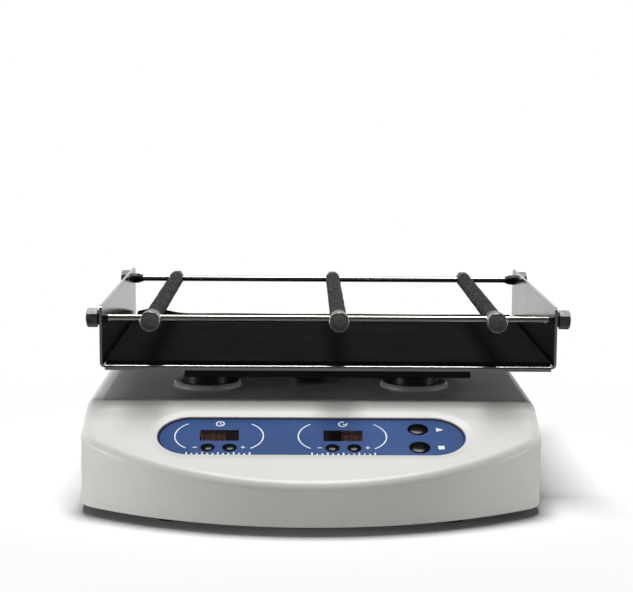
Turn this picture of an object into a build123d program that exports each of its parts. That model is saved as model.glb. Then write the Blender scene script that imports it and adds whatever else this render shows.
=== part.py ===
from build123d import *
import math
import os

# Orbital shaker: a desk-top base with a sloping control panel, and a clamping tray
# that an eccentric crank carries round a small circle without turning it.
# While it is modelled, the origin is on the bench under the drive axis, +X to the right,
# +Y to the back and +Z up. The origin of the finished part is given at the end of this file.

# Base housing
BASE_WIDTH = 268.0
REAR_REACH = 91.0
BOW_RADIUS = 0.81 * BASE_WIDTH
FRONT_CORNER = 20.0
REAR_CORNER = 26.0
HOUSING_BOTTOM = 5.0
DECK_Z = 60.0
FRONT_EDGE_Z = 29.0
SLOPE_ANGLE = 20.5
WALL = 3.0
TOP_EDGE = 6.0
RIDGE_RADIUS = 14.0

# Base plate, feet and the screws from below
PLATE_THICKNESS = 2.0
PLATE_RECESS = 0.5
FOOT_RADIUS = 11.0
FOOT_TAPER = 1.0
FOOT_STEM = 4.0
FOOT_SIDE_INSET = 54.0
FOOT_X = BASE_WIDTH / 2 - FOOT_SIDE_INSET
FOOT_FRONT_INSET = 38.0
FOOT_REAR_INSET = 32.0
COLUMN_RADIUS = 4.5
COLUMN_SIDE_INSET = 17.0
COLUMN_X = BASE_WIDTH / 2 - COLUMN_SIDE_INSET
COLUMN_FRONT_INSET = 66.0
COLUMN_REAR_INSET = 22.0
COLUMN_MIDDLE_Y = -40.0
SCREW_RADIUS = 1.5
SCREW_HEAD = 2.8
SCREW_HEAD_HEIGHT = 1.8
SCREW_LENGTH = 9.0

# Orbit and the supports that keep the platform from turning
ORBIT = 10.0
SUPPORT_X = 64.6
SUPPORT_Y = 50.0
COLLAR_RADIUS = 21.0
COLLAR_HEIGHT = 3.0
SPIGOT_RADIUS = 18.0
SPIGOT_DEPTH = 14.0
HEAD_RADIUS = 15.5
HEAD_TOP_Z = 68.0
HEAD_GAP = 0.8
HEAD_FLOOR = 4.0
SUPPORT_BEARING_RADIUS = 11.0
SUPPORT_BEARING_BORE = 4.0
SUPPORT_BEARING_HEIGHT = 7.0
HEAD_PIN_RADIUS = 4.0
HEAD_SHOULDER = 5.3
BUSH_WALL = 2.0

# Drive shaft, its housing and its bearings
SHAFT_RADIUS = 6.0
MAIN_BEARING_RADIUS = 14.0
MAIN_BEARING_HEIGHT = 8.0
BLOCK_RADIUS = 20.0
BLOCK_TOP_Z = 40.0
BLOCK_FLANGE_RADIUS = 40.0
BLOCK_FLANGE = 6.0
BLOCK_SCREW_CIRCLE = 32.0
CRANK_RADIUS = 19.0
CRANK_TOP_Z = 66.0
CRANK_THICKNESS = 7.0
CRANK_PIN_RADIUS = 5.0
CRANK_SHOULDER = 6.5
CARRIER_BEARING_RADIUS = 13.0
CARRIER_BEARING_HEIGHT = 8.0

# Belt drive
PULLEY_RADIUS = 45.0
PULLEY_WIDTH = 8.0
PULLEY_HUB = 11.0
PULLEY_RIM = 5.0
PULLEY_WEB = 3.0
PULLEY_Z = 41.5
MOTOR_PULLEY_RADIUS = 9.0
BELT_THICKNESS = 1.6
BELT_WIDTH = 6.0
COUNTERWEIGHT_RADIUS = 50.0
COUNTERWEIGHT_THICKNESS = 5.5
MOTOR_DISTANCE = 85.0
MOTOR_RADIUS = 21.0
MOTOR_ROOM = 4.5
MOTOR_HEIGHT = 26.0
MOTOR_SHAFT_RADIUS = 2.0
MOTOR_BOSS_RADIUS = 6.0
BRACKET_THICKNESS = 2.0
BRACKET_TOP_Z = 40.0
BRACKET_DEPTH = 30.0
BRACKET_FOOT = 12.0
MOTOR_SCREW_REACH = 13.0

# Control panel; distances run up the slope from its front edge
PILL_LENGTH = BASE_WIDTH * 2 / 3
PILL_HEIGHT = 39.6
PILL_UP = 51.0
RECESS_DEPTH = 2.4
RECESS_BEVEL = 5.0
BEVEL_DEPTH = 1.0
PAD_MARGIN = 6.0
PAD_FLOOR = 3.0
OVERLAY_THICKNESS = 0.6
WINDOW_LENGTH = 22.6
WINDOW_HEIGHT = 11.2
WINDOW_UP = 52.3
TIME_X = -0.298 * PILL_LENGTH
SPEED_X = 0.102 * PILL_LENGTH
WINDOW_RECESS = 0.2
KEY_RADIUS = 3.8
KEY_SPACING = 12.5
KEY_UP = 39.6
START_RADIUS = 5.8
START_X = 0.347 * PILL_LENGTH
START_UP = 59.4
STOP_UP = 40.4
KEY_PROUD = 0.9
KEY_TRAVEL = 0.8
KEY_FLANGE = 1.2
KEY_STEM_RADIUS = 1.5
BOARD_DEPTH = 12.0
BOARD_THICKNESS = 1.6
BOARD_MARGIN = 7.5
BOARD_LENGTH = PILL_LENGTH - 2 * BOARD_MARGIN
BOARD_HEIGHT = 34.0
BOARD_SCREW_RADIUS = 1.25
BOARD_SCREW_INSET = 5.0
BOARD_SCREW_SIDE_INSET = 4.0
BOARD_BOSS_RADIUS = 3.2
SWITCH_SIZE = 6.0
SWITCH_BUTTON_RADIUS = 1.7
SWITCH_BUTTON_HEIGHT = 0.4

# Rear wall: inlet for the supply and the power switch
INLET_INSET = 72.0
INLET_X = BASE_WIDTH / 2 - INLET_INSET
REAR_FITTINGS_Z = 30.0
INLET_RADIUS = 5.5
INLET_FLANGE = 7.5
INLET_SOCKET_RADIUS = 3.2
INLET_PIN_RADIUS = 1.0
INLET_LENGTH = 14.0
INLET_SOCKET_DEPTH = 9.5
ROCKER_INSET = 42.0
ROCKER_X = BASE_WIDTH / 2 - ROCKER_INSET
ROCKER_LENGTH = 15.0
ROCKER_WIDTH = 11.0
ROCKER_TILT = 10.0
ROCKER_PIVOT_RADIUS = 1.5
FRAME_BORDER = 2.4
FRAME_DEPTH = 12.0
BEZEL = 1.5

# Platform
TRAY_WIDTH = 272.0
TRAY_DEPTH = 195.0
TRAY_BOTTOM_Z = 77.8
TRAY_HEIGHT = 38.4
TRAY_LIP = 3.0
SHEET = 1.5
BEND_RADIUS = 1.5
PANEL_CORNER = 3.0
MAT_THICKNESS = 2.4
LIP_BEND = 1.3
MAT_MARGIN = 1.5
CARRIER_WIDTH = 174.0
CARRIER_DEPTH = 136.0
CARRIER_BOTTOM_Z = 70.0
CARRIER_WALL = 3.0
CARRIER_CORNER = 8.0
BOSS_WALL = 3.5
TRAY_SCREW_INSET = 9.0
TRAY_SCREW_RADIUS = 2.0
TRAY_SCREW_HEAD = 3.8
TRAY_SCREW_LENGTH = 8.0

# Rails and the sliding bars
RAIL_RADIUS = 2.0
RAIL_Z = 108.7
RAIL_INSET = 4.0
NUT_FLATS = 10.0
NUT_LENGTH = 6.5
WASHER_RADIUS = 4.3
WASHER_THICKNESS = 1.3
RAIL_END = 0.6
RAIL_COLLAR_RADIUS = 3.4
RAIL_COLLAR_TIP = 2.3
RAIL_COLLAR_LENGTH = 6.0
FRONT_COLLAR_RADIUS = 2.7
FRONT_COLLAR_LENGTH = 3.4
LEFT_BAR_INSET = 31.0
MIDDLE_BAR_X = 6.0
RIGHT_BAR_INSET = 37.0
BAR_X = (LEFT_BAR_INSET - TRAY_WIDTH / 2, MIDDLE_BAR_X, TRAY_WIDTH / 2 - RIGHT_BAR_INSET)
BAR_NAMES = ("left", "middle", "right")
BLOCK_END_RADIUS = 5.0
BLOCK_REACH = 4.5
CORE_RADIUS = 3.0
SLEEVE_RADIUS = 5.0
SLEEVE_GAP = 0.2
KNOB_RADIUS = 6.0
KNOB_FACE = 16.0
KNOB_LENGTH = 9.6
KNOB_NECK_RADIUS = 3.6
KNOB_STUD_RADIUS = 2.0
END_SCREW_FLATS = 8.0
END_SCREW_HEAD = 4.0
END_SCREW_NECK = 3.0

# Clearances
RUNNING = 0.02
PIN_PLAY = 0.08
CLEAR = 0.3
FIT = 0.15

UP = (Align.CENTER, Align.CENTER, Align.MIN)
DOWN = (Align.CENTER, Align.CENTER, Align.MAX)

SLOPE = math.radians(SLOPE_ANGLE)
# The base reaches forward until the board under the panel clears the motor.
FRONT_REACH = (
    MOTOR_DISTANCE + MOTOR_RADIUS + MOTOR_ROOM + (PILL_UP + BOARD_HEIGHT / 2) * math.cos(SLOPE)
    + (BOARD_DEPTH + BOARD_THICKNESS) * math.sin(SLOPE)
)
PLATE_BOTTOM_Z = HOUSING_BOTTOM + PLATE_RECESS
PLATE_TOP_Z = PLATE_BOTTOM_Z + PLATE_THICKNESS
TRAY_FLOOR_Z = TRAY_BOTTOM_Z + TRAY_LIP
CARRIER_TOP_Z = TRAY_FLOOR_Z - SHEET
RAIL_Y = TRAY_DEPTH / 2 - RAIL_INSET
PAD_DEPTH = RECESS_DEPTH + PAD_FLOOR
KEY_FLANGE_DEPTH = PAD_DEPTH + CLEAR
KEY_STEM_DEPTH = KEY_FLANGE_DEPTH + KEY_FLANGE + 0.5 * KEY_TRAVEL
SWITCH_TOP_DEPTH = KEY_STEM_DEPTH + KEY_TRAVEL + CLEAR
REAR_Y = REAR_REACH

SUPPORTS = [(x, y) for y in (-SUPPORT_Y, SUPPORT_Y) for x in (-SUPPORT_X, SUPPORT_X)]
SUPPORT_NAMES = ("front_left", "front_right", "rear_left", "rear_right")
FEET = [
    (x, y)
    for y in (FOOT_FRONT_INSET - FRONT_REACH, REAR_REACH - FOOT_REAR_INSET)
    for x in (-FOOT_X, FOOT_X)
]
COLUMNS = [
    (x, y)
    for y in (COLUMN_FRONT_INSET - FRONT_REACH, COLUMN_MIDDLE_Y, REAR_REACH - COLUMN_REAR_INSET)
    for x in (-COLUMN_X, COLUMN_X)
]
BLOCK_SCREWS = [
    (BLOCK_SCREW_CIRCLE * math.cos(a), BLOCK_SCREW_CIRCLE * math.sin(a))
    for a in (math.radians(45 + 90 * n) for n in range(4))
]
BRACKET_HALF = MOTOR_RADIUS + 4.0
BRACKET_SCREWS = [(side * (BRACKET_HALF + BRACKET_FOOT / 2), -MOTOR_DISTANCE) for side in (-1, 1)]
KEYS = {
    "time_minus_button": (TIME_X - KEY_SPACING / 2, KEY_UP, KEY_RADIUS),
    "time_plus_button": (TIME_X + KEY_SPACING / 2, KEY_UP, KEY_RADIUS),
    "speed_minus_button": (SPEED_X - KEY_SPACING / 2, KEY_UP, KEY_RADIUS),
    "speed_plus_button": (SPEED_X + KEY_SPACING / 2, KEY_UP, KEY_RADIUS),
    "start_button": (START_X, START_UP, START_RADIUS),
    "stop_button": (START_X, STOP_UP, START_RADIUS),
}
WINDOWS = (TIME_X, SPEED_X)
BOARD_SCREW_X = BOARD_LENGTH / 2 - BOARD_SCREW_INSET
BOARD_SCREW_UP = BOARD_HEIGHT / 2 - BOARD_SCREW_SIDE_INSET
BOARD_SCREWS = [
    (x, PILL_UP + up)
    for x in (-BOARD_SCREW_X, BOARD_SCREW_X)
    for up in (-BOARD_SCREW_UP, BOARD_SCREW_UP)
]
TRAY_SCREWS = [
    (x * (CARRIER_WIDTH / 2 - TRAY_SCREW_INSET), y * (CARRIER_DEPTH / 2 - TRAY_SCREW_INSET))
    for x in (-1, 1)
    for y in (-1, 1)
]

panel = Plane(
    origin=(0, -FRONT_REACH, FRONT_EDGE_Z), x_dir=(1, 0, 0), z_dir=(0, -math.sin(SLOPE), math.cos(SLOPE))
).location
towards_front = Rot(90, 0, 0)
towards_back = Rot(-90, 0, 0)
towards_right = Rot(0, 90, 0)
platform_at_rest = Pos(ORBIT, 0, 0)


def post(radius, bottom, top, x=0.0, y=0.0):
    """Upright cylinder between two heights."""
    return Pos(x, y, bottom) * Cylinder(radius, top - bottom, align=UP)


def posts(places, radius, bottom, top):
    """The same upright cylinder at several places."""
    return Part() + [post(radius, bottom, top, x, y) for x, y in places]


def turned(*outline):
    """Solid of revolution about Z of a closed outline of (radius, height) points."""
    return revolve(make_face(Plane.XZ * Polyline(*outline, close=True)), Axis.Z)


def ring(outer, inner, bottom, top, edge=0.0):
    """Flat ring, its outer corners cut by edge."""
    if not edge:
        return turned((inner, bottom), (outer, bottom), (outer, top), (inner, top))
    return turned(
        (inner, bottom), (outer - edge, bottom), (outer, bottom + edge), (outer, top - edge),
        (outer - edge, top), (inner, top),
    )


def on_panel(x, up, depth):
    """Place on the slope, a depth below its surface, looking out of it."""
    return panel * Pos(x, up, -depth)


def base_plan(inset):
    """Plan of the base, moved in from its outline: straight sides and back, bowed front."""
    front = -2 * FRONT_REACH
    rear = REAR_REACH - inset
    block = Pos(0, (front + rear) / 2) * Rectangle(BASE_WIDTH - 2 * inset, rear - front)
    plan = block & Pos(0, BOW_RADIUS - FRONT_REACH) * Circle(BOW_RADIUS - inset)
    corners = plan.vertices().sort_by(Axis.Y)
    plan = fillet(corners[:2], FRONT_CORNER - inset)
    corners = plan.vertices().sort_by(Axis.Y)
    return fillet(corners[-2:], REAR_CORNER - inset)


def base_form(inset, bottom):
    """Closed form of the base: the plan drawn up to the deck, cut by the slope, its top edges rounded."""
    form = Pos(0, 0, bottom) * extrude(base_plan(inset), DECK_Z - inset - bottom)
    form -= on_panel(0, 0, inset) * Box(2 * BASE_WIDTH, 4 * FRONT_REACH, 2 * DECK_Z, align=UP)
    across = form.edges().filter_by(Axis.X).sort_by(Axis.Z)
    ridge = min(across.filter_by(lambda e: e.center().Z > DECK_Z - inset - 1), key=lambda e: e.center().Y)
    form = fillet(ridge, RIDGE_RADIUS - inset)
    blend = form.edges().filter_by(Axis.X).filter_by(lambda e: e.center().Y < 0)
    rim = form.edges().filter_by(lambda e: e.center().Z > bottom + 1) - form.edges().filter_by(Axis.Z) - blend
    return fillet(rim, TOP_EDGE - inset)


def make_top_housing():
    """Moulded cover: a walled shell with the panel recess, deck openings, screw columns and rear openings."""
    outer = base_form(0, HOUSING_BOTTOM)
    shell = outer - base_form(WALL, 0)
    pad = on_panel(0, PILL_UP, PAD_DEPTH) * extrude(
        SlotOverall(PILL_LENGTH + 2 * PAD_MARGIN, PILL_HEIGHT + 2 * PAD_MARGIN), PAD_FLOOR
    )
    columns = posts(COLUMNS, COLUMN_RADIUS, PLATE_TOP_Z, DECK_Z) & outer
    shell = shell + pad + columns
    bosses = [
        on_panel(x, up, BOARD_DEPTH) * Cylinder(BOARD_BOSS_RADIUS, BOARD_DEPTH - RECESS_DEPTH - 1, align=UP)
        for x, up in BOARD_SCREWS
    ]
    shell = shell + bosses
    wide = SlotOverall(PILL_LENGTH + 2 * RECESS_BEVEL, PILL_HEIGHT + 2 * RECESS_BEVEL)
    bevel = loft([Pos(0, 0, -BEVEL_DEPTH) * SlotOverall(PILL_LENGTH, PILL_HEIGHT), wide])
    shell -= on_panel(0, PILL_UP, RECESS_DEPTH) * extrude(SlotOverall(PILL_LENGTH, PILL_HEIGHT), RECESS_DEPTH)
    shell -= on_panel(0, PILL_UP, 0) * (bevel + extrude(wide, BEVEL_DEPTH))
    for x in WINDOWS:
        opening = Box(WINDOW_LENGTH, WINDOW_HEIGHT, PAD_DEPTH + 1, align=UP)
        shell -= on_panel(x, WINDOW_UP, PAD_DEPTH + 1) * opening
    for x, up, radius in KEYS.values():
        shell -= on_panel(x, up, PAD_DEPTH + 1) * Cylinder(radius + CLEAR, PAD_DEPTH + 1, align=UP)
    for x, up in BOARD_SCREWS:
        shell -= on_panel(x, up, BOARD_DEPTH + 1) * Cylinder(
            BOARD_SCREW_RADIUS, BOARD_DEPTH - PAD_DEPTH + 1, align=UP
        )
    shell -= posts(COLUMNS, SCREW_RADIUS, HOUSING_BOTTOM, PLATE_TOP_Z + SCREW_LENGTH)
    shell -= posts(SUPPORTS, SPIGOT_RADIUS + FIT, DECK_Z - 2 * WALL, DECK_Z + 1)
    shell -= post(CRANK_RADIUS + CLEAR + 1, DECK_Z - 2 * WALL, DECK_Z + 1)
    shell -= Pos(INLET_X, REAR_Y, REAR_FITTINGS_Z) * towards_back * Cylinder(INLET_RADIUS + FIT, 4 * WALL)
    shell -= Pos(ROCKER_X, REAR_Y, REAR_FITTINGS_Z) * Box(
        ROCKER_WIDTH + 2 * FRAME_BORDER + 2 * FIT, 4 * WALL, ROCKER_LENGTH + 2 * FRAME_BORDER + 2 * FIT
    )
    return shell


def make_base_plate():
    """Steel plate that closes the base and carries the drive."""
    plate = Pos(0, 0, PLATE_BOTTOM_Z) * extrude(base_plan(WALL + CLEAR), PLATE_THICKNESS)
    plate -= posts(FEET, FOOT_STEM, 0, DECK_Z)
    return plate - posts(COLUMNS + BLOCK_SCREWS + BRACKET_SCREWS, SCREW_RADIUS + FIT, 0, DECK_Z)


def make_foot():
    """Push-in rubber foot with a collar that holds it in the plate."""
    groove = PLATE_TOP_Z
    return turned(
        (0, 0), (FOOT_RADIUS - FOOT_TAPER - 1, 0), (FOOT_RADIUS - FOOT_TAPER, 1),
        (FOOT_RADIUS, PLATE_BOTTOM_Z),
        (FOOT_STEM, PLATE_BOTTOM_Z), (FOOT_STEM, groove), (FOOT_STEM + 1.2, groove),
        (FOOT_STEM - 1, groove + 3), (0, groove + 3),
    )


def pan_screw(radius, head, head_height, length):
    """Pan-head screw standing on its head: the shank runs up from Z 0, with the head below it."""
    return turned(
        (0, -head_height), (head * 0.6, -head_height), (head, -head_height * 0.5), (head, 0),
        (radius, 0),
        (radius, length - radius * 0.5), (radius * 0.5, length), (0, length),
    )


def make_base_screws():
    """Screws up through the plate into the columns, the bearing block and the motor bracket."""
    screw = pan_screw(SCREW_RADIUS, SCREW_HEAD, SCREW_HEAD_HEIGHT, PLATE_THICKNESS + SCREW_LENGTH - 1)
    short = pan_screw(SCREW_RADIUS, SCREW_HEAD, SCREW_HEAD_HEIGHT, PLATE_THICKNESS + BRACKET_THICKNESS + 1)
    screws = [Pos(x, y, PLATE_BOTTOM_Z) * screw for x, y in COLUMNS + BLOCK_SCREWS]
    return screws + [Pos(x, y, PLATE_BOTTOM_Z) * short for x, y in BRACKET_SCREWS]


def make_overlay():
    """Printed membrane in the recess, open at the windows and keys."""
    sheet = extrude(SlotOverall(PILL_LENGTH - 2 * FIT, PILL_HEIGHT - 2 * FIT), OVERLAY_THICKNESS)
    sheet = on_panel(0, PILL_UP, RECESS_DEPTH) * sheet
    for x in WINDOWS:
        sheet -= on_panel(x, WINDOW_UP, RECESS_DEPTH + 1) * Box(WINDOW_LENGTH, WINDOW_HEIGHT, 4, align=UP)
    for x, up, radius in KEYS.values():
        sheet -= on_panel(x, up, RECESS_DEPTH + 1) * Cylinder(radius + CLEAR, 4, align=UP)
    return sheet


def make_window(x):
    """Tinted window of a display, let into the panel."""
    top = RECESS_DEPTH - OVERLAY_THICKNESS + WINDOW_RECESS
    lens = Box(WINDOW_LENGTH - 2 * FIT, WINDOW_HEIGHT - 2 * FIT, PAD_DEPTH - top, align=DOWN)
    return on_panel(x, WINDOW_UP, top) * lens


def make_display(x):
    """Display module on the board behind a window."""
    height = BOARD_DEPTH - PAD_DEPTH - FIT
    return on_panel(x, WINDOW_UP, BOARD_DEPTH) * Box(WINDOW_LENGTH - 1, WINDOW_HEIGHT - 1, height, align=UP)


def make_board():
    """Control board, held under the panel by four screws."""
    board = on_panel(0, PILL_UP, BOARD_DEPTH) * Box(BOARD_LENGTH, BOARD_HEIGHT, BOARD_THICKNESS, align=DOWN)
    for x, up in BOARD_SCREWS:
        board -= on_panel(x, up, BOARD_DEPTH) * Cylinder(BOARD_SCREW_RADIUS, 4 * BOARD_THICKNESS)
    return board


def make_board_screw(x, up):
    """Small screw up through the board into its boss."""
    screw = pan_screw(BOARD_SCREW_RADIUS, 2.3, 1.4, BOARD_THICKNESS + 5)
    return on_panel(x, up, BOARD_DEPTH + BOARD_THICKNESS) * screw


def make_switch(x, up):
    """Tact switch on the board under a key."""
    height = BOARD_DEPTH - SWITCH_TOP_DEPTH - SWITCH_BUTTON_HEIGHT
    body = Box(SWITCH_SIZE, SWITCH_SIZE, height, align=UP)
    button = Pos(0, 0, height) * Cylinder(SWITCH_BUTTON_RADIUS, SWITCH_BUTTON_HEIGHT, align=UP)
    return on_panel(x, up, BOARD_DEPTH) * (body + button)


def make_key(x, up, radius):
    """Push button: a crowned cap, a flange that keeps it in the housing, and a stem for its switch."""
    top = RECESS_DEPTH - OVERLAY_THICKNESS - KEY_PROUD
    crown = 0.3
    key = turned(
        (0, -KEY_STEM_DEPTH), (KEY_STEM_RADIUS, -KEY_STEM_DEPTH),
        (KEY_STEM_RADIUS, -KEY_FLANGE_DEPTH - KEY_FLANGE),
        (radius + 1.2, -KEY_FLANGE_DEPTH - KEY_FLANGE), (radius + 1.2, -KEY_FLANGE_DEPTH),
        (radius, -KEY_FLANGE_DEPTH),
        (radius, -top - 2 * crown), (radius - 2 * crown, -top - crown), (radius * 0.5, -top), (0, -top),
    )
    return on_panel(x, up, 0) * key


def make_bearing_block():
    """Cast block with a flange: it holds the two bearings of the drive shaft."""
    top, foot = BLOCK_TOP_Z, PLATE_TOP_Z
    body = turned(
        (SHAFT_RADIUS + 1, foot + MAIN_BEARING_HEIGHT),
        (MAIN_BEARING_RADIUS, foot + MAIN_BEARING_HEIGHT),
        (MAIN_BEARING_RADIUS, foot), (BLOCK_FLANGE_RADIUS, foot),
        (BLOCK_FLANGE_RADIUS, foot + BLOCK_FLANGE),
        (BLOCK_RADIUS + 3, foot + BLOCK_FLANGE), (BLOCK_RADIUS, foot + BLOCK_FLANGE + 3),
        (BLOCK_RADIUS, top),
        (MAIN_BEARING_RADIUS, top), (MAIN_BEARING_RADIUS, top - MAIN_BEARING_HEIGHT),
        (SHAFT_RADIUS + 1, top - MAIN_BEARING_HEIGHT),
    )
    return body - posts(BLOCK_SCREWS, SCREW_RADIUS, 0, foot + BLOCK_FLANGE + 3)


def make_main_bearings():
    """Ball bearings of the drive shaft, top and bottom of the block."""
    bottoms = (PLATE_TOP_Z, BLOCK_TOP_Z - MAIN_BEARING_HEIGHT)
    return [ring(MAIN_BEARING_RADIUS, SHAFT_RADIUS, z, z + MAIN_BEARING_HEIGHT) for z in bottoms]


def make_drive_shaft():
    """Shaft with its crank disc and the eccentric pin that carries the platform."""
    journal = SHAFT_RADIUS - RUNNING
    shaft = post(journal, PLATE_TOP_Z + CLEAR, CRANK_TOP_Z - CRANK_THICKNESS)
    disc = ring(CRANK_RADIUS, 0, CRANK_TOP_Z - CRANK_THICKNESS, CRANK_TOP_Z, edge=0.8)
    shoulder = post(CRANK_SHOULDER, CRANK_TOP_Z, CARRIER_BOTTOM_Z + SHEET - FIT, ORBIT)
    pin = post(CRANK_PIN_RADIUS - RUNNING, CRANK_TOP_Z, CARRIER_TOP_Z - CLEAR, ORBIT)
    return shaft + disc + shoulder + pin


def make_drive_pulley():
    """Large pulley: hub, web with lightening holes, and a flanged rim for the belt."""
    middle = PULLEY_WIDTH / 2
    rim_in = PULLEY_RADIUS - PULLEY_RIM
    wheel = turned(
        (SHAFT_RADIUS - RUNNING, 0), (PULLEY_HUB, 0), (PULLEY_HUB, middle - PULLEY_WEB / 2),
        (rim_in, middle - PULLEY_WEB / 2), (rim_in, 0), (PULLEY_RADIUS, 0),
        (PULLEY_RADIUS, PULLEY_WIDTH), (rim_in, PULLEY_WIDTH),
        (rim_in, middle + PULLEY_WEB / 2), (PULLEY_HUB, middle + PULLEY_WEB / 2),
        (PULLEY_HUB, PULLEY_WIDTH),
        (SHAFT_RADIUS - RUNNING, PULLEY_WIDTH),
    )
    reach = (PULLEY_HUB + rim_in) / 2
    hole = Pos(reach, 0, middle) * Cylinder(reach - PULLEY_HUB - 3, 2 * PULLEY_WEB)
    return Pos(0, 0, PULLEY_Z) * (wheel - [Rot(0, 0, 60 * n) * hole for n in range(6)])


def make_counterweight():
    """Half disc on the shaft, opposite the eccentric pin."""
    bottom = PULLEY_Z + PULLEY_WIDTH
    hub = ring(PULLEY_HUB, SHAFT_RADIUS - RUNNING, bottom, bottom + COUNTERWEIGHT_THICKNESS)
    disc = ring(COUNTERWEIGHT_RADIUS, SHAFT_RADIUS, bottom, bottom + COUNTERWEIGHT_THICKNESS)
    reach = 4 * COUNTERWEIGHT_RADIUS
    away = Box(reach, reach, 2 * DECK_Z, align=(Align.MIN, Align.CENTER, Align.CENTER))
    return hub + (disc - Pos(PULLEY_HUB / 2, 0, DECK_Z / 2) * away)


def belt_outline(large, small):
    """Plan of a belt round both pulleys: the two circles and their outer tangents."""
    lean = math.asin((large - small) / MOTOR_DISTANCE)
    across, along = math.cos(lean), math.sin(lean)
    hull = Polyline(
        (large * across, -large * along), (small * across, -MOTOR_DISTANCE - small * along),
        (-small * across, -MOTOR_DISTANCE - small * along), (-large * across, -large * along), close=True,
    )
    return make_face(hull) + Circle(large) + Pos(0, -MOTOR_DISTANCE) * Circle(small)


def make_drive_belt():
    """Flat belt round both pulleys."""
    inner = belt_outline(PULLEY_RADIUS + CLEAR, MOTOR_PULLEY_RADIUS + CLEAR)
    outer = belt_outline(PULLEY_RADIUS + CLEAR + BELT_THICKNESS, MOTOR_PULLEY_RADIUS + CLEAR + BELT_THICKNESS)
    bottom = PULLEY_Z + (PULLEY_WIDTH - BELT_WIDTH) / 2
    return Pos(0, 0, bottom) * (extrude(outer, BELT_WIDTH) - extrude(inner, BELT_WIDTH))


def make_motor_body():
    """Motor can under the bracket, with a boss round its shaft."""
    top = BRACKET_TOP_Z - BRACKET_THICKNESS
    can = turned(
        (MOTOR_SHAFT_RADIUS + PIN_PLAY, top - MOTOR_HEIGHT + 4), (0, top - MOTOR_HEIGHT + 4),
        (0, top - MOTOR_HEIGHT),
        (MOTOR_RADIUS - 1.5, top - MOTOR_HEIGHT), (MOTOR_RADIUS, top - MOTOR_HEIGHT + 1.5),
        (MOTOR_RADIUS, top),
        (MOTOR_BOSS_RADIUS, top), (MOTOR_BOSS_RADIUS, BRACKET_TOP_Z),
        (MOTOR_SHAFT_RADIUS + PIN_PLAY, BRACKET_TOP_Z),
    )
    can -= posts(motor_screw_places(), SCREW_RADIUS, top - 5, top + 1)
    return Pos(0, -MOTOR_DISTANCE) * can


def motor_screw_places():
    """Places of the screws that hold the motor, seen from its own axis."""
    return [(MOTOR_SCREW_REACH, 0), (-MOTOR_SCREW_REACH, 0)]


def make_motor_bracket():
    """Bent steel bridge that carries the motor: a top, two legs and two feet."""
    t = BRACKET_THICKNESS
    height = BRACKET_TOP_Z - PLATE_TOP_Z
    profile = Pos(0, height / 2) * Rectangle(2 * BRACKET_HALF, height)
    profile -= Pos(0, (height - t) / 2) * Rectangle(2 * BRACKET_HALF - 2 * t, height - t)
    feet = Rectangle(2 * BRACKET_HALF + 2 * BRACKET_FOOT, t, align=(Align.CENTER, Align.MIN))
    feet -= Rectangle(2 * BRACKET_HALF - 2 * t, 3 * t)
    bridge = extrude(Plane.XZ * (profile + feet), BRACKET_DEPTH / 2, both=True)
    bridge = Pos(0, -MOTOR_DISTANCE, PLATE_TOP_Z) * bridge
    bridge -= post(MOTOR_BOSS_RADIUS, BRACKET_TOP_Z - 2 * t, DECK_Z, 0, -MOTOR_DISTANCE)
    holes = posts(motor_screw_places(), SCREW_RADIUS + FIT, BRACKET_TOP_Z - 2 * t, DECK_Z)
    bridge -= Pos(0, -MOTOR_DISTANCE) * holes
    return bridge - posts(BRACKET_SCREWS, SCREW_RADIUS + FIT, PLATE_TOP_Z - 1, PLATE_TOP_Z + 2 * t)


def make_motor_screws():
    """Screws down through the bracket into the motor."""
    head = 1.0
    screw = Rot(180, 0, 0) * pan_screw(SCREW_RADIUS, SCREW_HEAD, head, BRACKET_THICKNESS + 4)
    return [Pos(x, y - MOTOR_DISTANCE, BRACKET_TOP_Z) * screw for x, y in motor_screw_places()]


def make_motor_shaft():
    """Motor shaft, from inside the can to the top of its pulley."""
    bottom = BRACKET_TOP_Z - BRACKET_THICKNESS - MOTOR_HEIGHT + 4 + CLEAR
    return post(MOTOR_SHAFT_RADIUS, bottom, PULLEY_Z + PULLEY_WIDTH, 0, -MOTOR_DISTANCE)


def make_motor_pulley():
    """Small pulley on the motor shaft."""
    wheel = ring(MOTOR_PULLEY_RADIUS, MOTOR_SHAFT_RADIUS, PULLEY_Z, PULLEY_Z + PULLEY_WIDTH)
    return Pos(0, -MOTOR_DISTANCE) * wheel


def make_support_collar():
    """Collar let into the deck: a visible ring, a well for the head and a seat for its bearing."""
    well = HEAD_RADIUS + HEAD_GAP
    seat_top = DECK_Z - HEAD_FLOOR
    seat_bottom = seat_top - SUPPORT_BEARING_HEIGHT
    edge = 1.2
    return turned(
        (SUPPORT_BEARING_BORE + 4, DECK_Z - SPIGOT_DEPTH), (SPIGOT_RADIUS, DECK_Z - SPIGOT_DEPTH),
        (SPIGOT_RADIUS, DECK_Z),
        (COLLAR_RADIUS, DECK_Z), (COLLAR_RADIUS, DECK_Z + COLLAR_HEIGHT - edge),
        (COLLAR_RADIUS - edge, DECK_Z + COLLAR_HEIGHT), (well, DECK_Z + COLLAR_HEIGHT),
        (well, seat_top), (SUPPORT_BEARING_RADIUS, seat_top),
        (SUPPORT_BEARING_RADIUS, seat_bottom), (SUPPORT_BEARING_BORE + 4, seat_bottom),
    )


def make_support_bearing():
    """Ball bearing of a support head."""
    top = DECK_Z - HEAD_FLOOR
    return ring(SUPPORT_BEARING_RADIUS, SUPPORT_BEARING_BORE, top - SUPPORT_BEARING_HEIGHT, top)


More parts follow.
